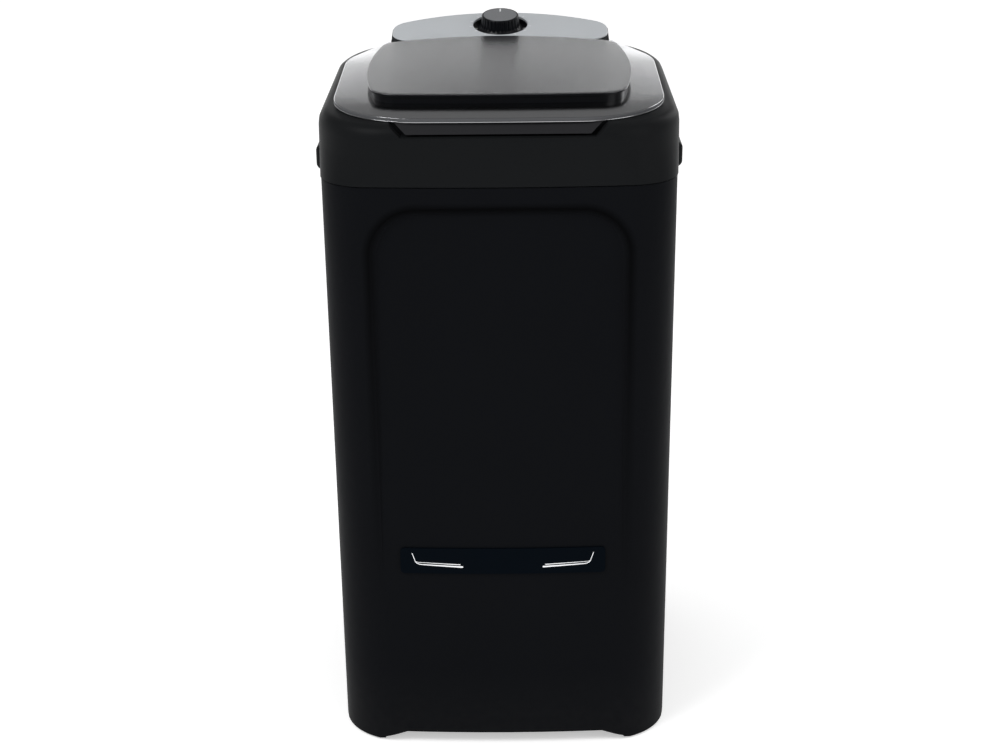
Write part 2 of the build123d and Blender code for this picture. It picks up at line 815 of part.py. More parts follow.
def frame_outline(inset):
    """Outline of the lid frame, drawn in by inset."""
    slope = atan2(lid_half - lid_tail_half, lid_tail_y - lid_shoulder_y)
    tail_y = lid_tail_y - inset * (1 / sin(slope) + 1 / tan(slope))
    return tailed_outline(lid_half - inset, lid_front - inset, lid_bow, lid_front_corner - inset,
                          lid_shoulder_y, lid_tail_half + inset, tail_y, lid_rear_y - inset, lid_side_radius)


def hump_outline(inset):
    """Outline of the raised middle, drawn in by inset: all four sides bow outward."""
    front_half = hump_front_half - inset
    rear_half = hump_rear_half - inset
    corner_y = hump_bow - hump_front + inset
    rear_y = lid_rear_y - inset
    root_y = rear_y - lid_rear_bow * (hump_rear_half / lid_tail_half) ** 2
    side_x = (front_half + rear_half) / 2 + hump_side_bow
    side_y = (corner_y + root_y) / 2
    front_arc = ThreePointArc((-front_half, corner_y), (0, inset - hump_front), (front_half, corner_y))
    right_arc = ThreePointArc((front_half, corner_y), (side_x, side_y), (rear_half, root_y))
    rear_arc = ThreePointArc((rear_half, root_y), (0, rear_y), (-rear_half, root_y))
    left_arc = ThreePointArc((-rear_half, root_y), (-side_x, side_y), (-front_half, corner_y))
    face = make_face(front_arc + right_arc + rear_arc + left_arc)
    face = fillet(face.vertices().sort_by(Axis.Y)[:2], hump_front_corner - inset)
    return fillet(face.vertices().sort_by(Axis.Y)[-2:], hump_rear_corner)


def lid_prism(face, w_low, w_high):
    """Prism between two levels of the lid frame's plane."""
    return LID * Pos(0, 0, w_low) * extrude(face, amount=w_high - w_low)


def lid_frame():
    plate = lid_prism(frame_outline(0), -lid_plate, 0)
    plate = chamfer(plate.faces().sort_by(Axis.Z)[-1].outer_wire().edges(), 0.8)
    lip = lid_prism(frame_outline(0), -lid_lip, -lid_plate) \
        - lid_prism(frame_outline(lid_lip_wall), -lid_lip - 1, 0)
    lip -= block(-lid_tail_half - 20, lid_tail_half + 20, lid_rear_y - lid_rear_bow - 8, 300, 900, 1000)
    window = hump_outline(band_inset + band_wall + 6)
    return plate + lip - lid_prism(window, -20, 20)


def lid_band():
    outer = hump_outline(band_inset)
    inner = hump_outline(band_inset + band_wall)
    top = hump_rise - hump_top
    wall = lid_prism(outer, 0, top) - lid_prism(inner, -1, top + 1)
    foot = lid_prism(outer, 0, 2) - lid_prism(hump_outline(band_inset + band_wall + 6), -1, 3)
    return wall + foot


def lid_cover():
    top = lid_prism(hump_outline(0), hump_rise - hump_top, hump_rise)
    top = fillet(top.faces().sort_by(Axis.Z)[-1].outer_wire().edges(), 1.2)
    outer = hump_outline(band_inset + band_wall + gap)
    inner = hump_outline(band_inset + 2 * band_wall + gap)
    level = hump_rise - hump_top
    skirt = lid_prism(outer, level - cover_skirt, level) - lid_prism(inner, level - cover_skirt - 1, level)
    return top + skirt


def hinge_arm(side):
    """Arm that runs from under one tail of the frame back to its pin."""
    reach_y = opening_rear + collar_wall + 3
    top_z = lid_z + tan(radians(lid_tilt)) * reach_y - lid_plate
    slope = tan(radians(lid_tilt))
    top_z -= 0.02
    edge = Polyline((reach_y, top_z - arm_depth), (reach_y, top_z),
                    (hinge_y - 22, top_z + slope * (hinge_y - 22 - reach_y)),
                    (hinge_y, hinge_z + barrel_radius), (hinge_y, hinge_z - barrel_radius), close=True)
    arm = extrude(make_face(edge), amount=arm_width)
    arm = Plane.YZ.location * arm
    arm += Pos(0, hinge_y, hinge_z) * Rot(0, 90, 0) * Cylinder(barrel_radius, arm_width, align=LOW)
    bore = Cylinder(pin_radius + shaft_fit, arm_width + 10, align=LOW)
    arm -= Pos(-5, hinge_y, hinge_z) * Rot(0, 90, 0) * bore
    x = lid_tail_half if side > 0 else -lid_tail_half - arm_width
    return Pos(x, 0, 0) * arm


def lid_liner():
    margin = liner_margin
    pan = lid_prism(frame_outline(margin), -lid_plate - liner_thick, -lid_plate)
    pan -= block(-lid_tail_half - 80, lid_tail_half + 80, opening_rear - 1, 300, 900, 1000)
    for inset, sign in ((skirt_clear, 1), (skirt_clear + skirt_wall, -1)):
        outline = RectangleRounded(2 * (opening_half - inset), opening_front + opening_rear - 2 * inset,
                                   opening_corner - inset)
        outline = Pos(0, (opening_rear - opening_front) / 2) * outline
        if sign > 0:
            pan += lid_prism(outline, -skirt_drop, -lid_plate)
        else:
            pan -= lid_prism(outline, -skirt_drop - 1, -lid_plate - liner_thick)
    arms = hinge_arm(1) + hinge_arm(-1)
    for side in (-1, 1):
        place = Pos(side * (lid_tail_half + arm_width / 2), opening_rear + 2, -lid_plate - liner_thick)
        pan += LID * place * Box(arm_width, arm_strip, liner_thick, align=LOW)
    return pan + arms


def lid_grip():
    """Flap that hangs from the frame's front edge, slanting forward."""
    top_z = lid_z + tan(radians(lid_tilt)) * grip_top_y - lid_plate - 0.05
    knee_z = top_z - grip_drop
    section = make_face(Polyline((grip_top_y, top_z), (grip_top_y, knee_z), (grip_low_y, grip_low_z),
                                 (grip_low_y + grip_thick, grip_low_z), (grip_top_y + grip_thick, knee_z),
                                 (grip_top_y + grip_thick, top_z), close=True))
    flap = Plane.YZ.location * extrude(section, amount=2 * grip_wide_half)
    flap = Pos(-grip_wide_half, 0, 0) * flap
    shoulder_z = lid_z - tan(radians(lid_tilt)) * lid_front - lid_lip - grip_lip_gap
    right = [(grip_low_half, grip_low_z - 0.01), (grip_wide_half, shoulder_z), (grip_half, shoulder_z),
             (grip_half, top_z + 2)]
    edge = Polyline(*right, *[(-x, z) for x, z in right[::-1]], close=True)
    return flap & extrude(make_face(edge).moved(Plane.XZ.location), amount=collar_front)


def hinge_pins():
    length = ear_wall + arm_width + 2 * hinge_side_gap + ear_wall
    pins = []
    for side in (-1, 1):
        x = side * (lid_tail_half + arm_width / 2)
        pins.append(Pos(x, hinge_y, hinge_z) * Rot(0, 90, 0) * Cylinder(pin_radius, length + 2))
    return many(pins)


def lid_bumpers():
    """Rubber buttons on the deck that the lid's frame rests over."""
    bumpers = []
    inset = (lid_lip_wall + liner_margin) / 2
    corner = (lid_front_corner - inset) / sqrt(2)
    sag = lid_bow * ((lid_half - lid_front_corner) / lid_half) ** 2
    corner_y = lid_front - sag - lid_front_corner + corner
    places = [(side * (lid_half - lid_front_corner + corner), 0.8 - corner_y) for side in (-1, 1)]
    places += [(side * (lid_half - inset), bumper_y) for side in (-1, 1)]
    for x, y in places:
        height = deck_drop - lid_plate - gap - 0.02
        bumpers.append(LID * Pos(x, y, -deck_drop + 0.02) * Cylinder(bumper_radius, height, align=LOW))
    return many(bumpers)


def panel_base():
    shell = panel_column(0, -fascia_thick) & upper_half(panel_seat)
    shell -= panel_column(panel_wall, -fascia_thick - panel_wall)
    cup = Cylinder(well_radius + panel_wall, well_depth + well_floor - fascia_thick, align=LOW)
    shell += PANEL * Pos(0, 0, -well_depth - well_floor) * cup
    shell -= PANEL * Pos(0, 0, -well_depth) * Cylinder(well_radius, 30, align=LOW)
    shell -= PANEL * Cylinder(timer_shaft_radius + 1, 60)
    for x in (-timer_screw_x, timer_screw_x):
        shell -= PANEL * Pos(x, 0, 0) * Cylinder(screw_radius + 0.1, 60)
    return shell


def panel_fascia():
    plate = panel_slab(-fascia_thick, 0)
    plate = fillet(plate.faces().sort_by(Axis.Z)[-1].outer_wire().edges(), 1.4)
    return plate - PANEL * Cylinder(well_radius, 20)


def dial_marks():
    """Ticks around the well, thin as print."""
    marks = []
    for index in range(mark_count + 1):
        turn = 150.0 - index * 300.0 / mark_count
        tick = Pos(0, mark_radius, 0) * Box(mark_width, mark_length, mark_thick, align=LOW)
        marks.append(PANEL * Rot(0, 0, turn) * tick)
    return many([mark for mark in marks if mark.center().Y > panel_front_y + 4])


def timer_knob():
    low = -well_depth + knob_clear
    profile = Polyline((0, low), (knob_skirt_radius, low), (knob_skirt_radius, low + 3),
                       (knob_body_radius, low + 7), (knob_top_radius + 0.8, knob_top - 1.2),
                       (knob_top_radius, knob_top), (0, knob_top), close=True)
    body = revolve(make_face(profile).moved(Plane.XZ.location), Axis.Z)
    for index in range(knob_flutes):
        flute = Pos(knob_body_radius + 0.4, 0, low + 4) * Cylinder(flute_radius, knob_top, align=LOW)
        body -= Rot(0, 0, index * 360 / knob_flutes) * flute
    bore = Cylinder(timer_shaft_radius + shaft_fit, timer_shaft_top - low + 1.2, align=LOW)
    body -= Pos(0, 0, low - 1) * bore
    body -= Pos(0, knob_top_radius - 9, knob_top - 0.5) * Box(2.2, 12.2, 2, align=LOW)
    return PANEL * body


def knob_pointer():
    return PANEL * Pos(0, knob_top_radius - 9, knob_top - 0.45) * Box(2.0, 12.0, 0.5, align=LOW)


def timer_shaft():
    low = -well_depth - well_floor - timer_depth / 2
    return PANEL * Pos(0, 0, low) * Cylinder(timer_shaft_radius, timer_shaft_top - low, align=LOW)


def timer_case():
    top = -well_depth - well_floor
    case = Pos(0, 0, top - timer_depth) * Box(2 * timer_half, 1.6 * timer_half, timer_depth, align=LOW)
    case = fillet(case.edges().filter_by(Axis.Z), 4)
    case += Pos(0, 0, top - timer_ear) * Box(2 * timer_screw_x + 10, 12, timer_ear, align=LOW)
    bore = Cylinder(timer_shaft_radius + shaft_fit, timer_depth, align=LOW)
    case -= Pos(0, 0, top - timer_depth / 2 - 1) * bore
    for x in (-timer_screw_x, timer_screw_x):
        case -= Pos(x, 0, top - screw_length) * Cylinder(screw_radius + 0.05, 40, align=LOW)
    for index in range(4):
        x = (index - 1.5) * 11
        case += Pos(x, 6, top - timer_depth - timer_terminal) * Box(5, 0.8, timer_terminal, align=LOW)
    return PANEL * case


def timer_screws():
    length = well_floor + timer_ear + 2
    return many([PANEL * Pos(x, 0, -well_depth) * screw(length=length, head_radius=3.3)
                 for x in (-timer_screw_x, timer_screw_x)])


def tub_mouth_outline(grow):
    return Pos(0, tub_y) * RectangleRounded(2 * (tub_mouth_half + grow), 2 * (tub_mouth_depth + grow),
                                            tub_mouth_corner + grow)


def tub_floor_outline(grow):
    return Pos(0, tub_y) * RectangleRounded(2 * (tub_floor_half + grow), 2 * (tub_floor_half + grow),
                                            tub_floor_corner + grow)


def tub_form(grow, z_low):
    """Solid of the tub's inner form, grown by its wall."""
    return loft([Pos(0, 0, z_low) * tub_floor_outline(grow), Pos(0, 0, tub_top_z) * tub_mouth_outline(grow)],
                ruled=True)


def wash_rib(x_top, y_top, x_low, y_low):
    """Half-round rib that follows the slope of a wall."""
    start = Vector(x_low, y_low, tub_floor_z + rib_lift)
    end = Vector(x_top, y_top, rib_top_z)
    plane = Plane(origin=start, z_dir=end - start)
    return plane.location * Cylinder(rib_radius, (end - start).length, align=LOW)


def wash_ribs():
    """Ribs on the front wall and on both side walls."""
    def between(low, high, z):
        share = (z - tub_floor_z) / (tub_top_z - tub_floor_z)
        return low + (high - low) * share
    low_z = tub_floor_z + rib_lift
    ribs = []
    for index in range(rib_count):
        step = (index - (rib_count - 1) / 2) * rib_pitch
        for side in (-1, 1):
            ribs.append(wash_rib(side * between(tub_floor_half, tub_mouth_half, rib_top_z), tub_y + step,
                                 side * between(tub_floor_half, tub_mouth_half, low_z), tub_y + step))
        ribs.append(wash_rib(step, tub_y - between(tub_floor_half, tub_mouth_depth, rib_top_z),
                             step, tub_y - between(tub_floor_half, tub_mouth_depth, low_z)))
    return ribs


def tub():
    outer = tub_form(tub_wall, tub_floor_z - tub_floor_thick)
    inner = tub_form(0, tub_floor_z)
    body = outer + post(0, tub_y, plate_top, tub_floor_z, well_disc_radius + tub_floor_thick)
    body -= inner
    body -= post(0, tub_y, well_disc_z, tub_floor_z + 1, well_disc_radius)
    for rib in wash_ribs():
        body += rib & outer
    flange = cabinet_block(tub_flange_inset, seam_z, tub_top_z)
    body += flange - extrude(Pos(0, 0, seam_z - 1) * tub_mouth_outline(0), amount=20)
    face_y = rail_y() - slide_gap
    rear_y = tub_y + tub_mouth_depth
    low_z = filter_low_z + rail_low
    high_z = filter_low_z + rail_high
    rail_reach = filter_half + slide_gap + rail_wall
    for side in (-1, 1):
        x_low, x_high = sorted((side * (filter_half + slide_gap), side * rail_reach))
        body += block(x_low, x_high, face_y, rear_y, low_z, high_z) & outer
        x_low, x_high = sorted((side * (filter_half - rail_lip), side * rail_reach))
        body += block(x_low, x_high, face_y - rail_wall, face_y, low_z, high_z) & outer
    stop_z = filter_low_z - gap
    body += block(-filter_half, filter_half, rail_y(), rear_y, stop_z - rail_wall, stop_z) & outer
    body -= post(block_x, rear_inner_y - lead_setback, seam_z - 1, tub_top_z + 1, lead_radius + 1.5)
    body += post(outlet_x, outlet_y, outlet_low_z, tub_floor_z - 1, outlet_radius)
    body -= post(outlet_x, outlet_y, outlet_low_z - 1, tub_floor_z + 1, outlet_bore)
    body -= post(0, tub_y, plate_top - 1, tub_floor_z, neck_radius + gap / 2)
    for x, y in bolt_places(housing_bolt_circle):
        body -= post(x, y, plate_top - 1, tub_floor_z, housing_bolt_radius + 0.1)
    for x, y in collar_screw_places():
        body -= post(x, y, seam_z - 1, tub_top_z + 1, screw_hole)
    return body


def rail_y():
    """Front face of the lint filter."""
    low = tub_y + tub_floor_half + (tub_mouth_depth - tub_floor_half) * (
        (filter_low_z - tub_floor_z) / (tub_top_z - tub_floor_z))
    return low - filter_depth - filter_standoff


def lint_filter_frame():
    y_low = rail_y()
    y_high = y_low + filter_depth
    outer = block(-filter_half, filter_half, y_low, y_high, filter_low_z, filter_low_z + filter_height)
    hole = block(-filter_half + filter_frame, filter_half - filter_frame, y_low - 1, y_low + filter_depth + 1,
                 filter_low_z + filter_frame, filter_low_z + filter_height - filter_frame)
    middle = filter_low_z + filter_height / 2
    bar = block(-filter_half + 1, filter_half - 1, y_high - filter_bar, y_high, middle - filter_bar,
                middle + filter_bar)
    top = filter_low_z + filter_height
    tab = block(-filter_tab_half, filter_tab_half, y_low, y_low + filter_tab_thick,
                top, top + filter_tab_rise)
    return outer - hole + bar + tab


def lint_net():
    """Flat net with square gaps, held in the frame."""
    y = rail_y() + 4
    half = filter_half - filter_frame - 0.2
    low = filter_low_z + filter_frame + 0.2
    high = filter_low_z + filter_height - filter_frame - 0.2
    pitch = 2 * half / net_bars
    rows = int((high - low) / pitch)
    face = Pos(0, (low + high) / 2) * Rectangle(2 * half, high - low)
    holes = []
    for column in range(net_bars):
        for row in range(rows):
            x = (column - (net_bars - 1) / 2) * pitch
            z = (low + high) / 2 + (row - (rows - 1) / 2) * pitch
            holes.append(Pos(x, z) * Rectangle(pitch - net_strand, pitch - net_strand))
    net = extrude(face - holes, amount=net_thick)
    return net.moved(Location((0, y, 0), (90, 0, 0)))


def drain_grate():
    plate = post(outlet_x, outlet_y, tub_floor_z + 0.02, tub_floor_z + grate_thick, grate_radius)
    for index in range(grate_slots):
        x = outlet_x + (index - (grate_slots - 1) / 2) * grate_pitch
        plate -= block(x - grate_slot_half, x + grate_slot_half, outlet_y - grate_slot_reach,
                       outlet_y + grate_slot_reach, tub_floor_z - 1, tub_floor_z + 5)
    return plate


def swept(points, bend, outer, inner=0.0):
    """Tube along straight runs joined by tangent arcs."""
    path = FilletPolyline(*points, radius=bend)
    start = Plane(origin=path @ 0, z_dir=path % 0)
    section = Circle(outer) - Circle(inner) if inner else Circle(outer)
    return sweep(start * section, path)


def hose_points():
    """Route of the drain hose from the tub's outlet to the spigot's tail."""
    tail_y = cover_face_y - cup_depth - panel_wall - 2
    return [(outlet_x, outlet_y, outlet_low_z + hose_overlap), (outlet_x, outlet_y, 165),
            (spigot_x, outlet_y + 55, spigot_z), (spigot_x, tail_y, spigot_z)]


def drain_hose():
    return swept(hose_points(), hose_bend, outlet_radius + hose_wall, outlet_radius + 0.1)


def hose_clamps():
    """Bands with a lug around both ends of the hose."""
    def band():
        outer = outlet_radius + hose_wall + clamp_thick + 0.05
        body = Cylinder(outer, clamp_width) + Pos(outer + 3, 0, 0) * Box(9, 5, clamp_width)
        return body - Cylinder(outlet_radius + hose_wall + 0.05, clamp_width + 2)
    end_y = hose_points()[-1][1]
    upper = Pos(outlet_x, outlet_y, outlet_low_z + 10) * band()
    lower = Pos(spigot_x, end_y - 9, spigot_z) * Rot(90, 0, 0) * band()
    return many([upper, lower])


def drain_spigot():
    """Barbed tail inside, a flange on the cup's floor and a plain spout in the cup."""
    floor_y = cover_face_y - cup_depth
    along = Pos(spigot_x, floor_y, spigot_z) * Rot(-90, 0, 0)
    tail = hose_overlap + panel_wall + 2
    body = along * Pos(0, 0, -tail) * Cylinder(outlet_radius, tail + spigot_length, align=LOW)
    body += along * Cylinder(outlet_radius + spigot_flange, 2, align=LOW)
    return body - along * Pos(0, 0, -tail - 1) * Cylinder(outlet_bore, tail + spigot_length + 2, align=LOW)


def bolt_places(radius, x=0.0, y=None):
    """Four places on a circle about an axis."""
    y = tub_y if y is None else y
    return [(x + radius * cos(radians(a)), y + radius * sin(radians(a))) for a in (45, 135, 225, 315)]


def bearing_housing():
    flange_top = plate_top
    body = post(0, tub_y, flange_top - flange_thick, flange_top, flange_radius)
    body += post(0, tub_y, housing_low_z, flange_top, barrel_outer)
    body += post(0, tub_y, flange_top, well_disc_z + neck_height, neck_radius)
    for turn in (0, 60, 120, 180, 240, 300):
        web = Pos(barrel_outer - 2, 0, -web_height) * Box(7, 4, web_height + 1, align=OUTWARD)
        body += Pos(0, tub_y, flange_top - flange_thick) * Rot(0, 0, turn) * web
    body -= post(0, tub_y, housing_low_z - 1, well_disc_z + 20, shaft_radius + 2)
    body -= post(0, tub_y, housing_low_z - 1, housing_low_z + bearing_width, bearing_outer + 0.02)
    body -= post(0, tub_y, flange_top - bearing_width, well_disc_z + 20, bearing_outer + 0.02)
    for x, y in bolt_places(housing_bolt_circle):
        body -= post(x, y, flange_top - 20, flange_top + 1, housing_bolt_radius + 0.1)
    return body


def bearings():
    """Two ball bearings with their shields, in the housing's upper and lower seats."""
    pair = []
    for z_low in (housing_low_z, plate_top - bearing_width):
        body = ring(0, tub_y, z_low, z_low + bearing_width, bearing_outer, shaft_radius + shaft_fit)
        groove = Pos(0, tub_y, z_low + bearing_width) * (Cylinder(13.2, 1.6) - Cylinder(10.4, 2))
        pair.append(body - groove - Pos(0, 0, -bearing_width) * groove)
    return many(pair)


def shaft_seal():
    low_z = plate_top + 0.2
    return ring(0, tub_y, low_z, low_z + seal_height, bearing_outer, shaft_radius + shaft_fit)


def housing_bolts():
    """They pass the bracket, the housing's flange and the tub's floor into nuts under the agitator."""
    bolts = []
    for x, y in bolt_places(housing_bolt_circle):
        shank = post(x, y, bracket_low_z, well_disc_z + 2, housing_bolt_radius)
        head = Pos(x, y, bracket_low_z - 4) * extrude(RegularPolygon(5.5, 6), amount=4)
        bolts.append(shank + head)
    return many(bolts)


def drive_shaft():
    top = well_disc_z + agitator_gap + hub_height - 6
    body = post(0, tub_y, shaft_low_z, top, shaft_radius)
    return body - post(0, tub_y, top - agitator_screw_length, top + 1, agitator_screw_radius + 0.05)


def agitator_fin():
    """Fin with sloped sides that gets lower and narrower towards the rim."""
    sections = []
    root = (fin_inner, fin_height, fin_width)
    tip = (agitator_radius - fin_end, fin_low, fin_tip_width)
    for x, height, width in (root, tip):
        foot = width / 2
        crest = foot * 0.45
        edge = Polyline((-foot, 0), (-crest, height), (crest, height), (foot, 0), close=True)
        sections.append(make_face(edge).moved(Plane.YZ.offset(x).location))
    return loft(sections, ruled=True)


def agitator():
    low = well_disc_z + agitator_gap
    body = post(0, tub_y, low, low + agitator_thick, agitator_radius)
    body = fillet(body.edges().sort_by(Axis.Z)[-1:], 3.0)
    body += Pos(0, tub_y, low) * Cone(hub_radius + 6, hub_radius - 6, hub_height, align=LOW)
    for index in range(fin_count):
        turn = Rot(0, 0, index * 360 / fin_count)
        body += Pos(0, tub_y, low + agitator_thick - 0.5) * turn * agitator_fin()
    for index in range(fin_count):
        turn = (index + 0.5) * 360 / fin_count
        for radius in (62.0, 88.0, 114.0):
            hole = Pos(0, tub_y, low - 1) * Rot(0, 0, turn) * Pos(radius, 0, 0) * Cylinder(4.0, 30, align=LOW)
            body -= hole
    body -= post(0, tub_y, low - 1, low + hub_height - 6, shaft_radius + shaft_fit)
    body -= post(0, tub_y, low - 1, low + hub_height + 1, agitator_screw_radius + 0.1)
    body -= post(0, tub_y, low + hub_height - 5, low + hub_height + 1, 9.0)
    body -= ring(0, tub_y, low - 1, low + 3.5, housing_bolt_circle + 6, housing_bolt_circle - 6)
    body -= post(0, tub_y, low - 1, well_disc_z + neck_height + 1.5, neck_radius + 2)
    return body


def agitator_screw():
    top = well_disc_z + agitator_gap + hub_height - 5
    return Pos(0, tub_y, top) * screw(length=agitator_screw_length - 1, radius=agitator_screw_radius,
                                      head_radius=6.0)


def agitator_cap():
    low = well_disc_z + agitator_gap + hub_height
    cap = Cylinder(hub_radius - 7, cap_height, align=LOW)
    cap = fillet(cap.edges().sort_by(Axis.Z)[-1:], 4.0)
    return Pos(0, tub_y, low + 0.05) * cap


def grooved_pulley(x, y, pitch, bore, hub_low, hub_high, hub_radius_here, light):
    """Pulley with a groove that leaves the belt its clearance."""
    outer = pitch + belt_thick / 2 + 1
    floor = pitch - belt_thick / 2 - groove_clear
    half = belt_width / 2 + groove_clear + 3
    body = post(x, y, belt_z - half, belt_z + half, outer)
    groove = belt_width / 2 + groove_clear
    body -= ring(x, y, belt_z - groove, belt_z + groove, outer + 5, floor)
    if light:
        inner = floor - pulley_rim
        body -= ring(x, y, belt_z - half - 1, belt_z - pulley_web / 2, inner, hub_radius_here)
        body -= ring(x, y, belt_z + pulley_web / 2, belt_z + half + 1, inner, hub_radius_here)
        for index in range(6):
            turn = radians(index * 60 + 30)
            body -= post(x + 50 * cos(turn), y + 50 * sin(turn), belt_z - 30, belt_z + 30, 14.0)
    body += post(x, y, hub_low, hub_high, hub_radius_here)
    return body - post(x, y, hub_low - 1, hub_high + 1, bore + shaft_fit)


def large_pulley():
    half = belt_width / 2 + groove_clear + 3
    return grooved_pulley(0, tub_y, big_pitch, shaft_radius, belt_z - half - 4, belt_z + half + 6,
                          pulley_hub_radius, True)


def motor_pulley():
    half = belt_width / 2 + groove_clear + 3
    return grooved_pulley(motor_x, motor_y, small_pitch, motor_shaft_radius, belt_z - half - 2,
                          belt_z + half + 0.1, 12.0, False)


def pulley_nut():
    half = belt_width / 2 + groove_clear + 3
    top = belt_z - half - 4.05
    nut = extrude(RegularPolygon(nut_radius, 6), amount=nut_height)
    nut -= Pos(0, 0, -1) * Cylinder(shaft_radius + shaft_fit, nut_height + 2, align=LOW)
    return Pos(0, tub_y, top - nut_height) * nut


def belt_loop(shift):
    """Plan of a belt's edge: two arcs and two tangents, moved off the pitch line by shift."""
    big = big_pitch + shift
    small = small_pitch + shift
    along = atan2(motor_y - tub_y, motor_x)
    lean = acos((big - small) / motor_distance)
    def on_big(angle):
        return (big * cos(angle), tub_y + big * sin(angle))
    def on_small(angle):
        return (motor_x + small * cos(angle), motor_y + small * sin(angle))
    big_arc = ThreePointArc(on_big(along + lean), on_big(along + pi), on_big(along - lean))
    small_arc = ThreePointArc(on_small(along + lean), on_small(along), on_small(along - lean))
    upper_run = Line(on_big(along + lean), on_small(along + lean))
    lower_run = Line(on_big(along - lean), on_small(along - lean))
    return make_face(big_arc + small_arc + upper_run + lower_run)


def drive_belt():
    face = belt_loop(belt_thick / 2) - belt_loop(-belt_thick / 2)
    return Pos(0, 0, belt_z - belt_width / 2) * extrude(face, amount=belt_width)


def drive_bracket():
    """Pressed plate under the tub that carries the bearing housing and the motor."""
    low = bracket_low_z
    hub = Pos(0, tub_y) * Circle(flange_radius + 8)
    head = Pos(motor_x, motor_y) * Circle(motor_radius + 8)
    along = atan2(motor_y - tub_y, motor_x)
    strap = Rot(0, 0, degrees(along)) * Rectangle(motor_distance, 110)
    strap = Pos(motor_x / 2, (motor_y + tub_y) / 2) * strap
    plate = Pos(0, 0, low) * extrude(hub + head + strap, amount=bracket_thick)
    plate -= post(0, tub_y, low - 1, low + 10, barrel_outer + 7)
    plate -= post(motor_x, motor_y, low - 1, low + 10, 14.0)
    for x, y in bolt_places(housing_bolt_circle):
        plate -= post(x, y, low - 1, low + 10, housing_bolt_radius + 0.1)
    for x, y in bolt_places(motor_bolt_circle, motor_x, motor_y):
        plate -= post(x, y, low - 1, low + 10, screw_radius + 0.3)
    return plate


def motor_screws():
    top = bracket_low_z + bracket_thick
    places = bolt_places(motor_bolt_circle, motor_x, motor_y)
    return many([Pos(x, y, top) * screw() for x, y in places])


def motor_upper_shield():
    high = bracket_low_z
    low = stator_low_z + stator_height
    body = ring(motor_x, motor_y, low, high, motor_radius, motor_radius - shield_wall)
    body += post(motor_x, motor_y, high - shield_wall, high, motor_radius)
    for x, y in bolt_places(motor_bolt_circle, motor_x, motor_y):
        body += post(x, y, low, high, 5.0)
        body -= post(x, y, high - 15, high + 1, screw_radius + 0.05)
    return body - post(motor_x, motor_y, low - 1, high + 1, motor_shaft_radius + shaft_fit)


def motor_lower_shield():
    high = stator_low_z
    low = high - shield_height
    body = ring(motor_x, motor_y, low, high, motor_radius, motor_radius - shield_wall)
    body += post(motor_x, motor_y, low, low + shield_wall, motor_radius)
    for index in range(8):
        turn = radians(index * 45)
        body -= post(motor_x + 38 * cos(turn), motor_y + 38 * sin(turn), low - 1, low + 5, 7.0)
    return body - post(motor_x, motor_y, low - 1, high + 1, motor_shaft_radius + shaft_fit)


def motor_stator():
    body = ring(motor_x, motor_y, stator_low_z, stator_low_z + stator_height, stator_radius, stator_bore)
    for index in range(12):
        turn = radians(index * 30)
        x = motor_x + (winding_outer + winding_inner) / 2 * cos(turn)
        y = motor_y + (winding_outer + winding_inner) / 2 * sin(turn)
        body -= post(x, y, stator_low_z - 1, stator_low_z + stator_height + 1, 5.0)
    return body


def motor_windings():
    """Upper and lower end turns, joined by the bars that lie in the stator's slots."""
    low = stator_low_z - winding_height - 0.2
    high = stator_low_z + stator_height + winding_height + 0.2
    middle = (winding_outer + winding_inner) / 2
    lower_ring = ring(motor_x, motor_y, low, stator_low_z - 0.2, winding_outer - 2, winding_inner)
    upper_ring = ring(motor_x, motor_y, high - winding_height, high, winding_outer - 2, winding_inner)
    for x, y in bolt_places(motor_bolt_circle, motor_x, motor_y):
        upper_ring -= post(x, y, low, high + 5, 5.4)
    body = lower_ring + upper_ring
    for index in range(12):
        turn = radians(index * 30)
        body += post(motor_x + middle * cos(turn), motor_y + middle * sin(turn), low + 2, high - 2, 4.6)
    return body


def motor_rotor():
    return ring(motor_x, motor_y, stator_low_z + 1, stator_low_z + stator_height - 1, rotor_radius,
                motor_shaft_radius + shaft_fit)


def motor_shaft():
    return post(motor_x, motor_y, belt_z - belt_width / 2 - 10, bracket_low_z + 8, motor_shaft_radius)


def motor_fan():
    high = stator_low_z - shield_height - fan_gap
    body = post(motor_x, motor_y, high - 2, high, fan_radius)
    for index in range(9):
        blade = Pos(16, 0, 0) * Box(fan_radius - 18, 1.6, fan_height - 2, align=OUTWARD)
        body += Pos(motor_x, motor_y, high - fan_height) * Rot(0, 0, index * 40) * blade
    body += post(motor_x, motor_y, high - fan_height, high, 11.0)
    return body - post(motor_x, motor_y, high - fan_height - 1, high + 1, motor_shaft_radius + shaft_fit)


def capacitor():
    low = ledge_z + ledge_thick + base_thick
    body = post(capacitor_x, capacitor_y, low + 0.02, low + capacitor_height, capacitor_radius)
    body = fillet(body.edges().sort_by(Axis.Z)[-1:], 2.0)
    for side in (-1, 1):
        tab = Box(6, 0.8, 9, align=LOW)
        body += Pos(capacitor_x + side * 6, capacitor_y, low + capacitor_height - 0.5) * tab
    return body


def capacitor_clamp():
    """Strap around the capacitor with a foot on the bottom cover."""
    low = ledge_z + ledge_thick + base_thick
    inner = capacitor_radius + 0.1
    outer = inner + strap_thick
    body = ring(capacitor_x, capacitor_y, strap_z, strap_z + strap_width, outer, inner)
    leg_x = capacitor_x - outer
    body += block(leg_x - 1.0, leg_x + 0.6, capacitor_y - 8, capacitor_y + 8, low + 0.02,
                  strap_z + strap_width)
    body += block(leg_x - 16, leg_x, capacitor_y - 8, capacitor_y + 8, low + 0.02, low + strap_thick)
    return body - ring(capacitor_x, capacitor_y, low - 1, strap_z + 40, inner, inner - 6)


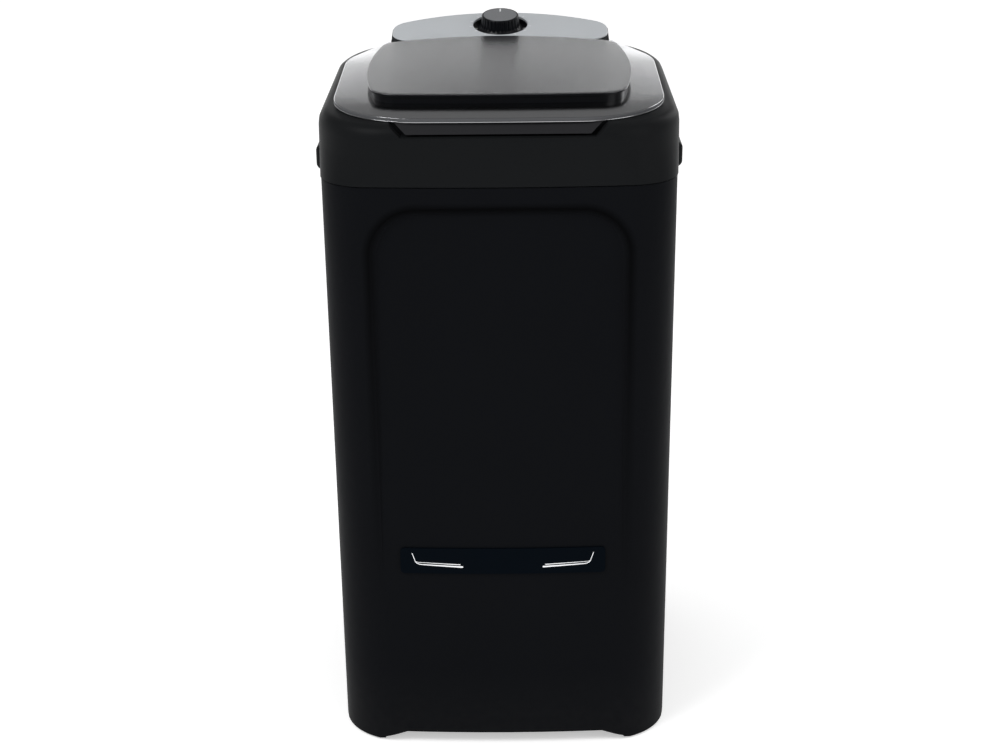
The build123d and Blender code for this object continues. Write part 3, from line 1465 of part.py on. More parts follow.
def terminal_block():
    low = ledge_z + ledge_thick + base_thick
    body = Pos(block_x, block_y, low + 0.02) * Box(block_length, block_depth, block_height, align=LOW)
    body = chamfer(body.edges().filter_by(Axis.X).sort_by(Axis.Z)[-2:], 4.0)
    for index in range(4):
        x = block_x + (index - 1.5) * 14
        body -= post(x, block_y, low + block_height - 5, low + block_height + 1, 3.6)
    return body


def cord_gland():
    along = Pos(gland_x, cover_face_y, gland_z) * Rot(-90, 0, 0)
    body = along * Cylinder(gland_flange, gland_flange_thick, align=LOW)
    body += along * Pos(0, 0, -14) * Cylinder(gland_radius, 14, align=LOW)
    body += along * Pos(0, 0, -14) * Cylinder(gland_flange - 1, 14 - cover_thick - 0.05, align=LOW)
    return body - along * Pos(0, 0, -20) * Cylinder(gland_bore, 40, align=LOW)


def timer_lead_points():
    """From the terminal block up the rear of the tub to the timer."""
    end = PANEL * Pos(0, 0, -well_depth - well_floor - timer_depth - timer_terminal - 0.3)
    top = end.position
    low = ledge_z + ledge_thick + base_thick + block_height + 0.3
    run_y = rear_inner_y - lead_setback
    return [(block_x, block_y, low), (block_x, block_y, low + 60), (block_x, run_y, low + 150),
            (block_x, run_y, tub_top_z + 24), (block_x / 4, top.Y + 10, top.Z - 26), (top.X, top.Y, top.Z)]


def lead_clips():
    """Clips that hold the timer's lead to the rear wall."""
    clips = []
    run_y = rear_inner_y - lead_setback
    for z in clip_heights:
        loop = ring(block_x, run_y, z, z + 8, lead_radius + 2.2, lead_radius + 0.1)
        stem = block(block_x - 3, block_x + 3, run_y + lead_radius + 1, rear_inner_y - 0.02, z, z + 8)
        clips.append(loop + stem)
    return many(clips)


def leads():
    """Internal leads: to the timer, the motor, the capacitor and the gland."""
    low = ledge_z + ledge_thick + base_thick
    top = low + block_height + 0.3
    motor_end = motor_y + motor_radius + 0.5
    left = block_x - block_length / 2 - 0.3
    right = block_x + block_length / 2 + 0.3
    middle = low + block_height / 2
    cap_top = low + capacitor_height + 9.2
    loop_z = cap_top + 26
    motor_z = stator_low_z + stator_height / 2 + 3
    motor_lead_x = motor_x - 6
    to_motor = [(left, block_y, middle), (left - 40, block_y, middle), (left - 40, block_y, motor_z),
                (motor_lead_x, block_y - 8, motor_z), (motor_lead_x, motor_end, motor_z)]
    to_capacitor = [(right, block_y, middle), (capacitor_x - 45, block_y, middle),
                    (capacitor_x - 45, capacitor_y, loop_z), (capacitor_x, capacitor_y, loop_z),
                    (capacitor_x, capacitor_y, cap_top)]
    to_gland = [(gland_x, cover_face_y - 14.2, gland_z), (gland_x, block_y + 6, gland_z),
                (block_x + 22, block_y, gland_z - 12), (block_x + 22, block_y, top)]
    return {
        "timer_lead": swept(timer_lead_points(), lead_bend, lead_radius),
        "motor_lead": swept(to_motor, lead_bend * 0.7, lead_radius),
        "capacitor_lead": swept(to_capacitor, lead_bend * 0.6, lead_radius * 0.7),
        "inlet_lead": swept(to_gland, lead_bend * 0.5, lead_radius * 0.9),
    }


PIECES = [
    cabinet, foot_pads, front_badge, badge_stripes, rear_cover, bottom_cover, top_collar, case_screws,
    lid_frame, lid_band, lid_cover, lid_liner, lid_grip, hinge_pins, lid_bumpers,
    panel_base, panel_fascia, dial_marks, timer_knob, knob_pointer, timer_shaft, timer_case, timer_screws,
    tub, lint_filter_frame, lint_net, drain_grate, drain_hose, hose_clamps, drain_spigot,
    bearing_housing, bearings, shaft_seal, housing_bolts, drive_shaft, agitator, agitator_screw, agitator_cap,
    large_pulley, pulley_nut, drive_belt, drive_bracket, motor_pulley, motor_screws, motor_upper_shield,
    motor_lower_shield, motor_stator, motor_windings, motor_rotor, motor_shaft, motor_fan,
    capacitor, capacitor_clamp, terminal_block, cord_gland, lead_clips,
]

for piece in PIECES:
    save(piece.__name__, piece())
for name, lead in leads().items():
    save(name, lead)
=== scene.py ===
# %% [markdown]
# # A one-tub washing machine
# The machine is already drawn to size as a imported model: every plate, screw and pulley is there
# as its own node, in metres, with the floor at z = 0. This lesson dresses that model: it lays a
# finish on each node and, where a moulded or pressed form deserves softer edges than the drawing
# has, works out a new surface with numpy that stands in for the node.

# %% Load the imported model
import json
import math
import bmesh
import bpy
import numpy as np
from mathutils import Matrix
from mathutils.geometry import tessellate_polygon


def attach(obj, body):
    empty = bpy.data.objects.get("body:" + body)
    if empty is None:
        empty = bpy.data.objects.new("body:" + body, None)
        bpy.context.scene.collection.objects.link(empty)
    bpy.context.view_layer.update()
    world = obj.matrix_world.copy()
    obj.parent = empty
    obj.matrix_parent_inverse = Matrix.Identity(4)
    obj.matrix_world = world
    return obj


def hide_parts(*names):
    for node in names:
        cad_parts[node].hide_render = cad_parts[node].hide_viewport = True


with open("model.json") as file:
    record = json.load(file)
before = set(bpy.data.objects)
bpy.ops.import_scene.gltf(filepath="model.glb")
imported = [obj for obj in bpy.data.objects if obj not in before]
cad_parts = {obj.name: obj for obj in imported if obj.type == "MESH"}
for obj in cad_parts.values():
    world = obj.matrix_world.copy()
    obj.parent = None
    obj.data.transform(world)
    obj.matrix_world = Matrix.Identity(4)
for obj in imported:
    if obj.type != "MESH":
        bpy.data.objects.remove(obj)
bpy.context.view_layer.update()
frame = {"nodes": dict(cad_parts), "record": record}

# %% [markdown]
# ## The camera
# The picture to match was taken from a little above the lid, straight on to the front. The
# camera's place and aim were worked out from the machine's corners, so they are given as plain
# numbers: an eye point, a direction and a small roll.

# %% Camera
eye = np.array([0.0245, -2.5836, 1.4616])
aim = np.array([-0.0103, 0.9347, -0.3553])
roll = math.radians(-0.63)

aim = aim / np.linalg.norm(aim)
level = np.cross(aim, [0, 0, 1])
level = level / np.linalg.norm(level)
upward = np.cross(level, aim)
right = math.cos(roll) * level + math.sin(roll) * upward
top = -math.sin(roll) * level + math.cos(roll) * upward
camera = bpy.data.objects.new("camera", bpy.data.cameras.new("camera"))
camera.data.lens = 65.88
camera.data.sensor_width = 36.0
turned = np.column_stack([right, top, -aim])
camera.matrix_world = Matrix([(*row, place) for row, place in zip(turned, eye)] + [(0, 0, 0, 1)])
bpy.context.scene.collection.objects.link(camera)
bpy.context.scene.camera = camera
bpy.context.scene.view_settings.view_transform = "Standard"
print("camera", camera.data.lens, "mm lens at", eye)

# %% [markdown]
# ## Floor, sky and lamps
# The picture has a white ground with no horizon. Here the sky is white where the camera or a
# reflection sees it behind the machine, and dims overhead and towards the viewer, as a studio
# does around a dark product. The floor is a pale sheet that still takes the machine's shadow:
# it gives off a little white of its own, but only to the camera and to reflections, and a little
# more far out, where the lamps no longer reach it.

# %% Sky
soft_light = 0.55                    # of the sky on matt surfaces; mirrors see the two ramps below


def link(tree, source, target):
    """Join one node's output socket to another node's input socket."""
    tree.links.new(source, target)


def see_white(tree):
    """1 where the camera, a reflection or glass is looking, 0 for soft light."""
    path = tree.nodes.new("ShaderNodeLightPath")
    either = tree.nodes.new("ShaderNodeMath")
    either.operation = "MAXIMUM"
    link(tree, path.outputs["Is Glossy Ray"], either.inputs[0])
    link(tree, path.outputs["Is Transmission Ray"], either.inputs[1])
    return path.outputs["Is Camera Ray"], either.outputs[0]


world = bpy.data.worlds.new("studio")
bpy.context.scene.world = world
world.use_nodes = True
sky = world.node_tree
sky.nodes.clear()
seen, mirrored = see_white(sky)
way = sky.nodes.new("ShaderNodeTexCoord")
split = sky.nodes.new("ShaderNodeSeparateXYZ")
link(sky, way.outputs["Generated"], split.inputs[0])


def sky_ramp(source, low, high, value_low, value_high):
    """Smooth change from value_low to value_high as a direction's part goes from low to high."""
    ramp = sky.nodes.new("ShaderNodeMapRange")
    ramp.interpolation_type = "SMOOTHSTEP"
    for name, value in (("From Min", low), ("From Max", high), ("To Min", value_low), ("To Max", value_high)):
        ramp.inputs[name].default_value = value
    link(sky, source, ramp.inputs["Value"])
    return ramp.outputs["Result"]


rear_share = sky_ramp(split.outputs["Y"], -0.35, 0.45, 0.30, 1.0)
low_share = sky_ramp(split.outputs["Z"], 0.10, 0.38, 0.80, 0.17)
both = sky.nodes.new("ShaderNodeMath")
both.operation = "MULTIPLY"
link(sky, rear_share, both.inputs[0])
link(sky, low_share, both.inputs[1])
soft = sky.nodes.new("ShaderNodeBackground")
soft.inputs["Color"].default_value = (1, 1, 1, 1)
soft.inputs["Strength"].default_value = soft_light
gloss = sky.nodes.new("ShaderNodeBackground")
gloss.inputs["Color"].default_value = (1, 1, 1, 1)
link(sky, both.outputs[0], gloss.inputs["Strength"])
plain = sky.nodes.new("ShaderNodeBackground")
plain.inputs["Color"].default_value = (1, 1, 1, 1)
plain.inputs["Strength"].default_value = 1.0
first = sky.nodes.new("ShaderNodeMixShader")
link(sky, mirrored, first.inputs[0])
link(sky, soft.outputs[0], first.inputs[1])
link(sky, gloss.outputs[0], first.inputs[2])
second = sky.nodes.new("ShaderNodeMixShader")
link(sky, seen, second.inputs[0])
link(sky, first.outputs[0], second.inputs[1])
link(sky, plain.outputs[0], second.inputs[2])
out = sky.nodes.new("ShaderNodeOutputWorld")
link(sky, second.outputs[0], out.inputs["Surface"])
print("sky nodes:", len(sky.nodes))

# %% Floor
reach = 14.0                         # metres from the machine to each edge
near_glow, far_glow = 0.45, 0.56
glow_from, glow_to = 1.0, 4.0        # metres over which one passes into the other
corners = [(-reach, -reach, 0), (reach, -reach, 0), (reach, reach, 0), (-reach, reach, 0)]
floor_mesh = bpy.data.meshes.new("floor")
floor_mesh.from_pydata(corners, [], [(0, 1, 2, 3)])
floor = bpy.data.objects.new("floor", floor_mesh)
bpy.context.scene.collection.objects.link(floor)
ground = bpy.data.materials.new("ground")
ground.use_nodes = True
tree = ground.node_tree
tree.nodes.clear()
seen, mirrored = see_white(tree)
lit = tree.nodes.new("ShaderNodeMath")
lit.operation = "MAXIMUM"
link(tree, seen, lit.inputs[0])
link(tree, mirrored, lit.inputs[1])
paper = tree.nodes.new("ShaderNodeBsdfDiffuse")
paper.inputs["Color"].default_value = (0.86, 0.86, 0.86, 1)
glow = tree.nodes.new("ShaderNodeEmission")
glow.inputs["Color"].default_value = (1, 1, 1, 1)
amount = tree.nodes.new("ShaderNodeMath")
amount.operation = "MULTIPLY"
link(tree, lit.outputs[0], amount.inputs[0])
where = tree.nodes.new("ShaderNodeTexCoord")
distance = tree.nodes.new("ShaderNodeVectorMath")
distance.operation = "LENGTH"
link(tree, where.outputs["Object"], distance.inputs[0])
far = tree.nodes.new("ShaderNodeMapRange")
far.interpolation_type = "SMOOTHSTEP"
for name, value in (("From Min", glow_from), ("From Max", glow_to), ("To Min", near_glow),
                    ("To Max", far_glow)):
    far.inputs[name].default_value = value
link(tree, distance.outputs["Value"], far.inputs["Value"])
link(tree, far.outputs["Result"], amount.inputs[1])
link(tree, amount.outputs[0], glow.inputs["Strength"])
total = tree.nodes.new("ShaderNodeAddShader")
link(tree, paper.outputs[0], total.inputs[0])
link(tree, glow.outputs[0], total.inputs[1])
out = tree.nodes.new("ShaderNodeOutputMaterial")
link(tree, total.outputs[0], out.inputs["Surface"])
floor_mesh.materials.append(ground)

# %% Lamps
def lamp(name, place, target, wide, tall, watts):
    """Oblong soft lamp at a place, turned to face a target point."""
    data = bpy.data.lights.new(name, "AREA")
    data.shape = "RECTANGLE"
    data.size, data.size_y = wide, tall
    data.energy = watts
    item = bpy.data.objects.new(name, data)
    back = np.array(place, float) - np.array(target, float)
    back = back / np.linalg.norm(back)
    side = np.cross([0, 0, 1], back)
    side = side / np.linalg.norm(side)
    turned = np.column_stack([side, np.cross(back, side), back])
    item.matrix_world = Matrix([(*row, at) for row, at in zip(turned, place)] + [(0, 0, 0, 1)])
    item.visible_camera = False
    bpy.context.scene.collection.objects.link(item)
    return item


middle = (0.0, 0.0, 0.55)
lamp("key", (-1.8, -1.6, 3.2), middle, 1.6, 1.6, 55)
lamp("fill", (2.4, -1.6, 2.0), middle, 1.8, 1.8, 18)
lamp("rear strip", (0.0, 1.30, 1.11), (0, 0, 1.06), 2.6, 0.40, 3.6)
lamp("rear fill", (2.6, 2.4, 2.4), middle, 1.8, 1.8, 24)
print("lamps:", [item.name for item in bpy.data.lights])

# %% [markdown]
# ## Effects that several finishes share
# Moulded plastic is never perfectly even. Its colour drifts a little over a hand's width, its
# skin has the faint waviness called orange peel under the finer grain of the etched mould, and
# dust settles on it. Each of these is one node group, so every finish can use it with its own
# values. The last group is painted shade: it darkens the colour along the edge of the arch in
# the front, which catches less light.

# %% Drift of tone
def group(name, numbers, outputs):
    """New shader node group with number inputs (name, value) and the named outputs."""
    made = bpy.data.node_groups.new(name, "ShaderNodeTree")
    for label, value in numbers:
        socket = made.interface.new_socket(label, in_out="INPUT", socket_type="NodeSocketFloat")
        socket.default_value = value
    for label, kind in outputs:
        made.interface.new_socket(label, in_out="OUTPUT", socket_type=kind)
    return made, made.nodes.new("NodeGroupInput"), made.nodes.new("NodeGroupOutput")


def math_node(tree, operation, first, second):
    """Number node of two values, each a socket or a plain number."""
    node = tree.nodes.new("ShaderNodeMath")
    node.operation = operation
    for socket, value in zip(node.inputs, (first, second)):
        if isinstance(value, (int, float)):
            socket.default_value = value
        else:
            link(tree, value, socket)
    return node.outputs[0]


drift, into, outof = group("tone drift", [("Size", 6.0), ("Amount", 0.1)], [("Tone", "NodeSocketFloat")])
place = drift.nodes.new("ShaderNodeTexCoord")
cloud = drift.nodes.new("ShaderNodeTexNoise")
cloud.inputs["Detail"].default_value = 3.0
link(drift, place.outputs["Object"], cloud.inputs["Vector"])
link(drift, into.outputs["Size"], cloud.inputs["Scale"])
swing = math_node(drift, "SUBTRACT", cloud.outputs["Fac"], 0.5)
swing = math_node(drift, "MULTIPLY", swing, into.outputs["Amount"])
link(drift, math_node(drift, "ADD", math_node(drift, "MULTIPLY", swing, 2.0), 1.0), outof.inputs["Tone"])

# %% Skin: orange peel and mould grain
moulded, into, outof = group("moulded skin", [("Peel", 0.3), ("Grain", 0.2), ("Grain Size", 1400.0)],
                             [("Height", "NodeSocketFloat")])
place = moulded.nodes.new("ShaderNodeTexCoord")
peel = moulded.nodes.new("ShaderNodeTexNoise")
peel.inputs["Scale"].default_value = 160.0
peel.inputs["Detail"].default_value = 1.0
grain = moulded.nodes.new("ShaderNodeTexVoronoi")
grain.feature = "SMOOTH_F1"
for node in (peel, grain):
    link(moulded, place.outputs["Object"], node.inputs["Vector"])
link(moulded, into.outputs["Grain Size"], grain.inputs["Scale"])
waves = math_node(moulded, "MULTIPLY", peel.outputs["Fac"], into.outputs["Peel"])
pits = math_node(moulded, "MULTIPLY", grain.outputs["Distance"], into.outputs["Grain"])
link(moulded, math_node(moulded, "ADD", waves, pits), outof.inputs["Height"])

# %% Dust that settles on flat tops and near the floor
flat_share = 0.35                    # dust on a level top, as a share of the dust at the floor
dust, into, outof = group("settled dust", [("Amount", 0.2), ("Reach", 0.12)], [("Dust", "NodeSocketFloat")])
facing = dust.nodes.new("ShaderNodeNewGeometry")
place = dust.nodes.new("ShaderNodeTexCoord")
height = dust.nodes.new("ShaderNodeSeparateXYZ")
link(dust, place.outputs["Object"], height.inputs[0])
up = dust.nodes.new("ShaderNodeSeparateXYZ")
link(dust, facing.outputs["Normal"], up.inputs[0])
low = math_node(dust, "SUBTRACT", 1.0, math_node(dust, "DIVIDE", height.outputs["Z"], into.outputs["Reach"]))
low = math_node(dust, "MAXIMUM", low, 0.0)
flat = math_node(dust, "MULTIPLY", math_node(dust, "MAXIMUM", up.outputs["Z"], 0.0), flat_share)
specks = dust.nodes.new("ShaderNodeTexNoise")
specks.inputs["Scale"].default_value = 90.0
specks.inputs["Detail"].default_value = 5.0
link(dust, place.outputs["Object"], specks.inputs["Vector"])
both = math_node(dust, "MULTIPLY", math_node(dust, "ADD", low, flat), specks.outputs["Fac"])
link(dust, math_node(dust, "MULTIPLY", both, into.outputs["Amount"]), outof.inputs["Dust"])

# %% Painted shade along the edge of the arched recess
# This group darkens the colour in a band along the recess outline: painted shade, full at the arch and fading
# out towards the bottom.
front_face = -0.2                    # only what lies ahead of this y belongs to the front
fade_from, fade_rate = 0.24, 1.75    # the recess fades in above this z, fully so 1 / 1.75 m higher
recess_shade, into, outof = group(
    "painted recess shade", [("Half", 0.175), ("Top", 0.811), ("Corner", 0.065), ("Width", 0.010)],
    [("Edge", "NodeSocketFloat")])
place = recess_shade.nodes.new("ShaderNodeTexCoord")
split = recess_shade.nodes.new("ShaderNodeSeparateXYZ")
link(recess_shade, place.outputs["Object"], split.inputs[0])
inner_half = math_node(recess_shade, "SUBTRACT", into.outputs["Half"], into.outputs["Corner"])
inner_top = math_node(recess_shade, "SUBTRACT", into.outputs["Top"], into.outputs["Corner"])
across = math_node(recess_shade, "SUBTRACT", math_node(recess_shade, "ABSOLUTE", split.outputs["X"], 0.0), inner_half)
above = math_node(recess_shade, "SUBTRACT", split.outputs["Z"], inner_top)
across = math_node(recess_shade, "MAXIMUM", across, 0.0)
above = math_node(recess_shade, "MAXIMUM", above, 0.0)
squares = math_node(recess_shade, "ADD", math_node(recess_shade, "MULTIPLY", across, across),
                    math_node(recess_shade, "MULTIPLY", above, above))
off_line = math_node(recess_shade, "SUBTRACT", math_node(recess_shade, "SQRT", squares, 0.0), into.outputs["Corner"])
off_line = math_node(recess_shade, "ABSOLUTE", off_line, 0.0)
near = math_node(recess_shade, "SUBTRACT", 1.0, math_node(recess_shade, "DIVIDE", off_line, into.outputs["Width"]))
near = math_node(recess_shade, "MAXIMUM", near, 0.0)
ahead = math_node(recess_shade, "LESS_THAN", split.outputs["Y"], front_face)
fading = math_node(recess_shade, "SUBTRACT", split.outputs["Z"], fade_from)
fading = math_node(recess_shade, "MULTIPLY", fading, fade_rate)
fading = math_node(recess_shade, "MAXIMUM", math_node(recess_shade, "MINIMUM", fading, 1.0), 0.0)
link(recess_shade, math_node(recess_shade, "MULTIPLY", math_node(recess_shade, "MULTIPLY", near, ahead), fading),
     outof.inputs["Edge"])
print("effects:", [g.name for g in bpy.data.node_groups])

# %% [markdown]
# ## Finishes
# One function lays out the nodes of a finish and takes its numbers from a table, because the
# machine has two dozen finishes that differ only in colour, gloss and the size of their grain.
# The colour goes through the tone drift, gets painted shade along the front recess where a finish asks for
# it, and is then dusted; the bump comes from the skin.

# %% Finish builder
def use(tree, effect, **numbers):
    """Place a shared effect in a material with its own numbers."""
    node = tree.nodes.new("ShaderNodeGroup")
    node.node_tree = effect
    for label, value in numbers.items():
        node.inputs[label.replace("_", " ")].default_value = value
    return node


dust_colour, dust_matt = (0.30, 0.29, 0.27, 1), 0.5    # dust also adds this much roughness


def finish(name, colour, rough, metallic=0.0, specular=0.5, tone=0.10, peel=0.25, grain=0.2,
           grain_size=1400.0, bump=0.0004, dusty=0.10, edge=0.0):
    """Opaque finish: tinted, slightly uneven colour with a moulded or sprayed skin; edge paints shade along
    the front recess.
    """
    made = bpy.data.materials.new(name)
    made.use_nodes = True
    tree = made.node_tree
    shader = tree.nodes["Principled BSDF"]
    shader.inputs["Metallic"].default_value = metallic
    shader.inputs["Specular IOR Level"].default_value = specular
    tone_node = use(tree, drift, Amount=tone)
    scaled = tree.nodes.new("ShaderNodeVectorMath")
    scaled.operation = "SCALE"
    scaled.inputs[0].default_value = colour
    shade = tone_node.outputs["Tone"]
    # edge darkens the colour along the front recess's outline: painted shade, not a colour of the plastic
    if edge:
        line = use(tree, recess_shade)
        shade = math_node(tree, "MULTIPLY", shade, math_node(
            tree, "SUBTRACT", 1.0, math_node(tree, "MULTIPLY", line.outputs["Edge"], edge)))
    link(tree, shade, scaled.inputs["Scale"])
    settled = use(tree, dust, Amount=dusty)
    mixed = tree.nodes.new("ShaderNodeMix")
    mixed.data_type = "RGBA"
    mixed.inputs["B"].default_value = dust_colour
    link(tree, settled.outputs["Dust"], mixed.inputs["Factor"])
    link(tree, scaled.outputs[0], mixed.inputs["A"])
    link(tree, mixed.outputs["Result"], shader.inputs["Base Color"])
    surface = use(tree, moulded, Peel=peel, Grain=grain, Grain_Size=grain_size)
    gloss_drift = math_node(tree, "MULTIPLY", tone_node.outputs["Tone"], rough)
    matt = math_node(tree, "MULTIPLY", settled.outputs["Dust"], dust_matt)
    gloss_drift = math_node(tree, "ADD", gloss_drift, matt)
    link(tree, gloss_drift, shader.inputs["Roughness"])
    relief = tree.nodes.new("ShaderNodeBump")
    relief.inputs["Distance"].default_value = bump
    relief.inputs["Strength"].default_value = 0.6
    link(tree, surface.outputs["Height"], relief.inputs["Height"])
    link(tree, relief.outputs["Normal"], shader.inputs["Normal"])
    return made


# %% Table of finishes
finishes = {
    # the cabinet's edge=0.8 paints shade along the front recess's edge
    "cabinet_plastic": finish("cabinet plastic", (0.0052, 0.0057, 0.0070), 0.46, specular=0.02,
                              dusty=0.02, edge=0.8),
    "collar_plastic": finish("collar plastic", (0.0085, 0.0092, 0.0100), 0.42, specular=0.04, dusty=0.02),
    "silver_paint": finish("silver paint", (0.50, 0.505, 0.52), 0.13, metallic=1.0, tone=0.03,
                           peel=0.08, grain=0.15, grain_size=2600, bump=0.0002, dusty=0.0),
    "cover_paint": finish("grey paint", (0.094, 0.097, 0.104), 0.20, metallic=0.75, grain=0.4,
                          grain_size=2600),
    # the cap's grey is partly painted sheen: it stands in for the reflection on the knob's top
    "knob_cap": finish("grey cap with painted sheen", (0.19, 0.195, 0.205), 0.38, metallic=0.2, grain=0.5,
                       grain_size=2200),
    # the dark lip is painted shade: a dark grey in place of the silver, standing in for the dark reflection
    # the lip shows
    "rim_lip": finish("lip with painted shade", (0.10, 0.102, 0.108), 0.40, specular=0.2, dusty=0.0),
    "panel_paint": finish("pale silver paint", (0.55, 0.575, 0.60), 0.40, metallic=0.15, grain=0.4,
                          grain_size=2600),
    "black_plastic": finish("black plastic", (0.004, 0.0045, 0.006), 0.28, specular=0.2, dusty=0.02),
    "grip_smoke": finish("smoked plastic", (0.020, 0.020, 0.022), 0.22, specular=0.35, dusty=0.0),
    "white_print": finish("white print", (0.72, 0.73, 0.75), 0.45),
    "badge_print": finish("dark blue badge", (0.0010, 0.0026, 0.0050), 0.25, specular=0.02, peel=0.05,
                          dusty=0.01),
    "bright_trim": finish("bright foil", (0.80, 0.81, 0.83), 0.22, metallic=1.0, grain=0.1),
    "tub_plastic": finish("white tub plastic", (0.70, 0.71, 0.72), 0.30, specular=0.5, dusty=0.0),
    "agitator_plastic": finish("blue-grey plastic", (0.12, 0.24, 0.38), 0.30),
    "net_fabric": finish("net", (0.72, 0.75, 0.78), 0.6),
    "rubber_black": finish("black rubber", (0.012, 0.012, 0.013), 0.7, specular=0.3, grain=0.6, dusty=0.25),
    "hose_rubber": finish("grey hose", (0.12, 0.125, 0.13), 0.55),
    "zinc_steel": finish("zinc plate", (0.55, 0.56, 0.54), 0.32, metallic=1.0),
    "shaft_steel": finish("ground steel", (0.56, 0.57, 0.58), 0.22, metallic=1.0),
    "cast_alloy": finish("die cast alloy", (0.46, 0.47, 0.48), 0.5, metallic=0.9, grain=0.9, grain_size=700),
    "pulley_plastic": finish("glass-filled plastic", (0.02, 0.02, 0.022), 0.55, grain=0.7),
    "bracket_paint": finish("black stove paint", (0.018, 0.018, 0.02), 0.45),
    "stator_steel": finish("laminated steel", (0.24, 0.25, 0.27), 0.45, metallic=0.9),
    "winding_copper": finish("enamelled copper", (0.45, 0.15, 0.06), 0.35, metallic=0.8),
    "capacitor_case": finish("grey case plastic", (0.5, 0.5, 0.48), 0.4),
    "timer_case_plastic": finish("cream plastic", (0.62, 0.58, 0.47), 0.42),
    "lead_sheath": finish("lead sheath", (0.02, 0.02, 0.022), 0.5),
}
body_of = {node: body for body, nodes in frame["record"]["behaviour"]["bodies"].items() for node in nodes}
slot_of = {}
for name, node in frame["nodes"].items():
    slot = node.data.materials[0].name.split(".")[0] if node.data.materials else None
    slot_of[name] = slot
    node.data.materials.clear()
    node.data.materials.append(finishes.get(slot, finishes["black_plastic"]))
    if slot not in finishes:
        print("no finish for", name, slot)
frame["nodes"]["lid_grip"].data.materials[0] = finishes["grip_smoke"]
print("finishes:", len(finishes))

# %% [markdown]
# ## Outlines of moulded parts
# The lid's pieces all follow one family of outlines: long sides that bow a little, joined by
# round corners. Drawing them as Bezier curves would be quick, but then the edge could not be
# drawn in evenly for a rolled lip. So an outline is worked out from its sharp corners: each side
# is a shallow parabola, and each corner is a circle that touches both sides.

# %% Rounded outline
def side_point(start, end, bow, share):
    """Point of a bowed side and its normal: start + share * run + 4 * bow * share * (1 - share) * outward."""
    run = end - start
    outward = np.array([run[1], -run[0]]) / np.hypot(*run)
    share = np.asarray(share)[..., None]
    point = start + share * run + 4 * bow * share * (1 - share) * outward
    slope = run + 4 * bow * (1 - 2 * share) * outward
    slope = slope / np.linalg.norm(slope, axis=-1, keepdims=True)
    return point, np.stack([slope[..., 1], -slope[..., 0]], axis=-1)


def outline(corners, bows, radii, side_steps=24, corner_steps=14):
    """Closed line of bowed sides and round corners; a corner's centre lies a radius from both its sides."""
    corners = np.array(corners, float)
    after = np.roll(corners, -1, axis=0)
    count = len(corners)
    cuts = np.tile([0.0, 1.0], (count, 1))
    arcs = []
    for i in range(count):
        last = i - 1
        one = (corners[last], after[last], bows[last])
        two = (corners[i], after[i], bows[i])
        before, behind = one[1] - one[0], two[1] - two[0]
        turn = before[0] * behind[1] - before[1] * behind[0]
        reach = radii[i] * (1.0 if turn > 0 else -1.0)
        shares = np.array([0.9, 0.1])

        def miss(pair):
            """Distance between the two centres that the two touching points ask for."""
            p, p_out = side_point(*one, pair[0])
            q, q_out = side_point(*two, pair[1])
            return (p - reach * p_out) - (q - reach * q_out)

        for _ in range(14):
            here = miss(shares)
            slopes = np.column_stack([(miss(shares + step) - here) / 1e-6 for step in np.eye(2) * 1e-6])
            shares = shares - np.linalg.solve(slopes, here)
        cuts[last, 1], cuts[i, 0] = shares
        p, p_out = side_point(*one, shares[0])
        q, q_out = side_point(*two, shares[1])
        first = math.atan2(*(reach * p_out)[::-1])
        sweep = (math.atan2(*(reach * q_out)[::-1]) - first + math.pi) % (2 * math.pi) - math.pi
        angles = first + sweep * np.linspace(0, 1, corner_steps)[1:-1]
        arcs.append(p - reach * p_out + radii[i] * np.column_stack([np.cos(angles), np.sin(angles)]))
    sides = [side_point(corners[i], after[i], bows[i], np.linspace(*cuts[i], side_steps))[0]
             for i in range(count)]
    return np.concatenate([part for pair in zip(arcs, sides) for part in pair])


# %% Skins from stacked rings
def skin(name, rings, slot, body, nodes, loop=False, poles=False, extra=None, plates=(), keep_sharp=38):
    """Surface through closed rings of equal length: ring i joins ring i + 1, point j joins point j + 1."""
    rings = np.array(rings, float)
    count, around, _ = rings.shape
    points = rings.reshape(-1, 3)
    i = np.arange(count if loop else count - 1)[:, None]
    j = np.arange(around)[None, :]
    up = (i + 1) % count
    quads = np.stack([i * around + j, i * around + (j + 1) % around,
                      up * around + (j + 1) % around, up * around + j], axis=-1).reshape(-1, 4)
    faces = quads.tolist()
    if poles:
        points = np.vstack([points, rings[0].mean(0), rings[-1].mean(0)])
        base, ring, last = len(points) - 2, np.arange(around), (count - 1) * around
        onward = (ring + 1) % around
        faces += np.column_stack([np.full(around, base), onward, ring]).tolist()
        faces += np.column_stack([np.full(around, base + 1), last + ring, last + onward]).tolist()
    if extra is not None:
        points = np.vstack([points, extra])
    for plate in plates:
        faces += plate
    mesh = bpy.data.meshes.new(name)
    mesh.from_pydata((points / 1000).tolist(), [], faces)
    mesh.shade_smooth()
    mesh.set_sharp_from_angle(angle=math.radians(keep_sharp))
    mesh.materials.append(finishes[slot])
    piece = bpy.data.objects.new(name, mesh)
    bpy.context.scene.collection.objects.link(piece)
    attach(piece, body)
    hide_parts(*nodes)
    print(name, "faces:", len(mesh.polygons))
    return piece


def flat_plate(outer, inner, outer_start, inner_start, upward):
    """Triangles that fill the flat space between two closed lines, numbered by where each line starts."""
    lines = [[(*point, 0.0) for point in line] for line in (outer, inner)]
    triples = np.array(tessellate_polygon(lines))
    flat = np.vstack([outer, inner])
    one, two = (flat[triples[:, k]] - flat[triples[:, 0]] for k in (1, 2))
    wrong = (one[:, 0] * two[:, 1] - one[:, 1] * two[:, 0] > 0) != upward
    triples[wrong] = triples[wrong][:, ::-1]
    return np.where(triples < len(outer), triples + outer_start, triples - len(outer) + inner_start).tolist()


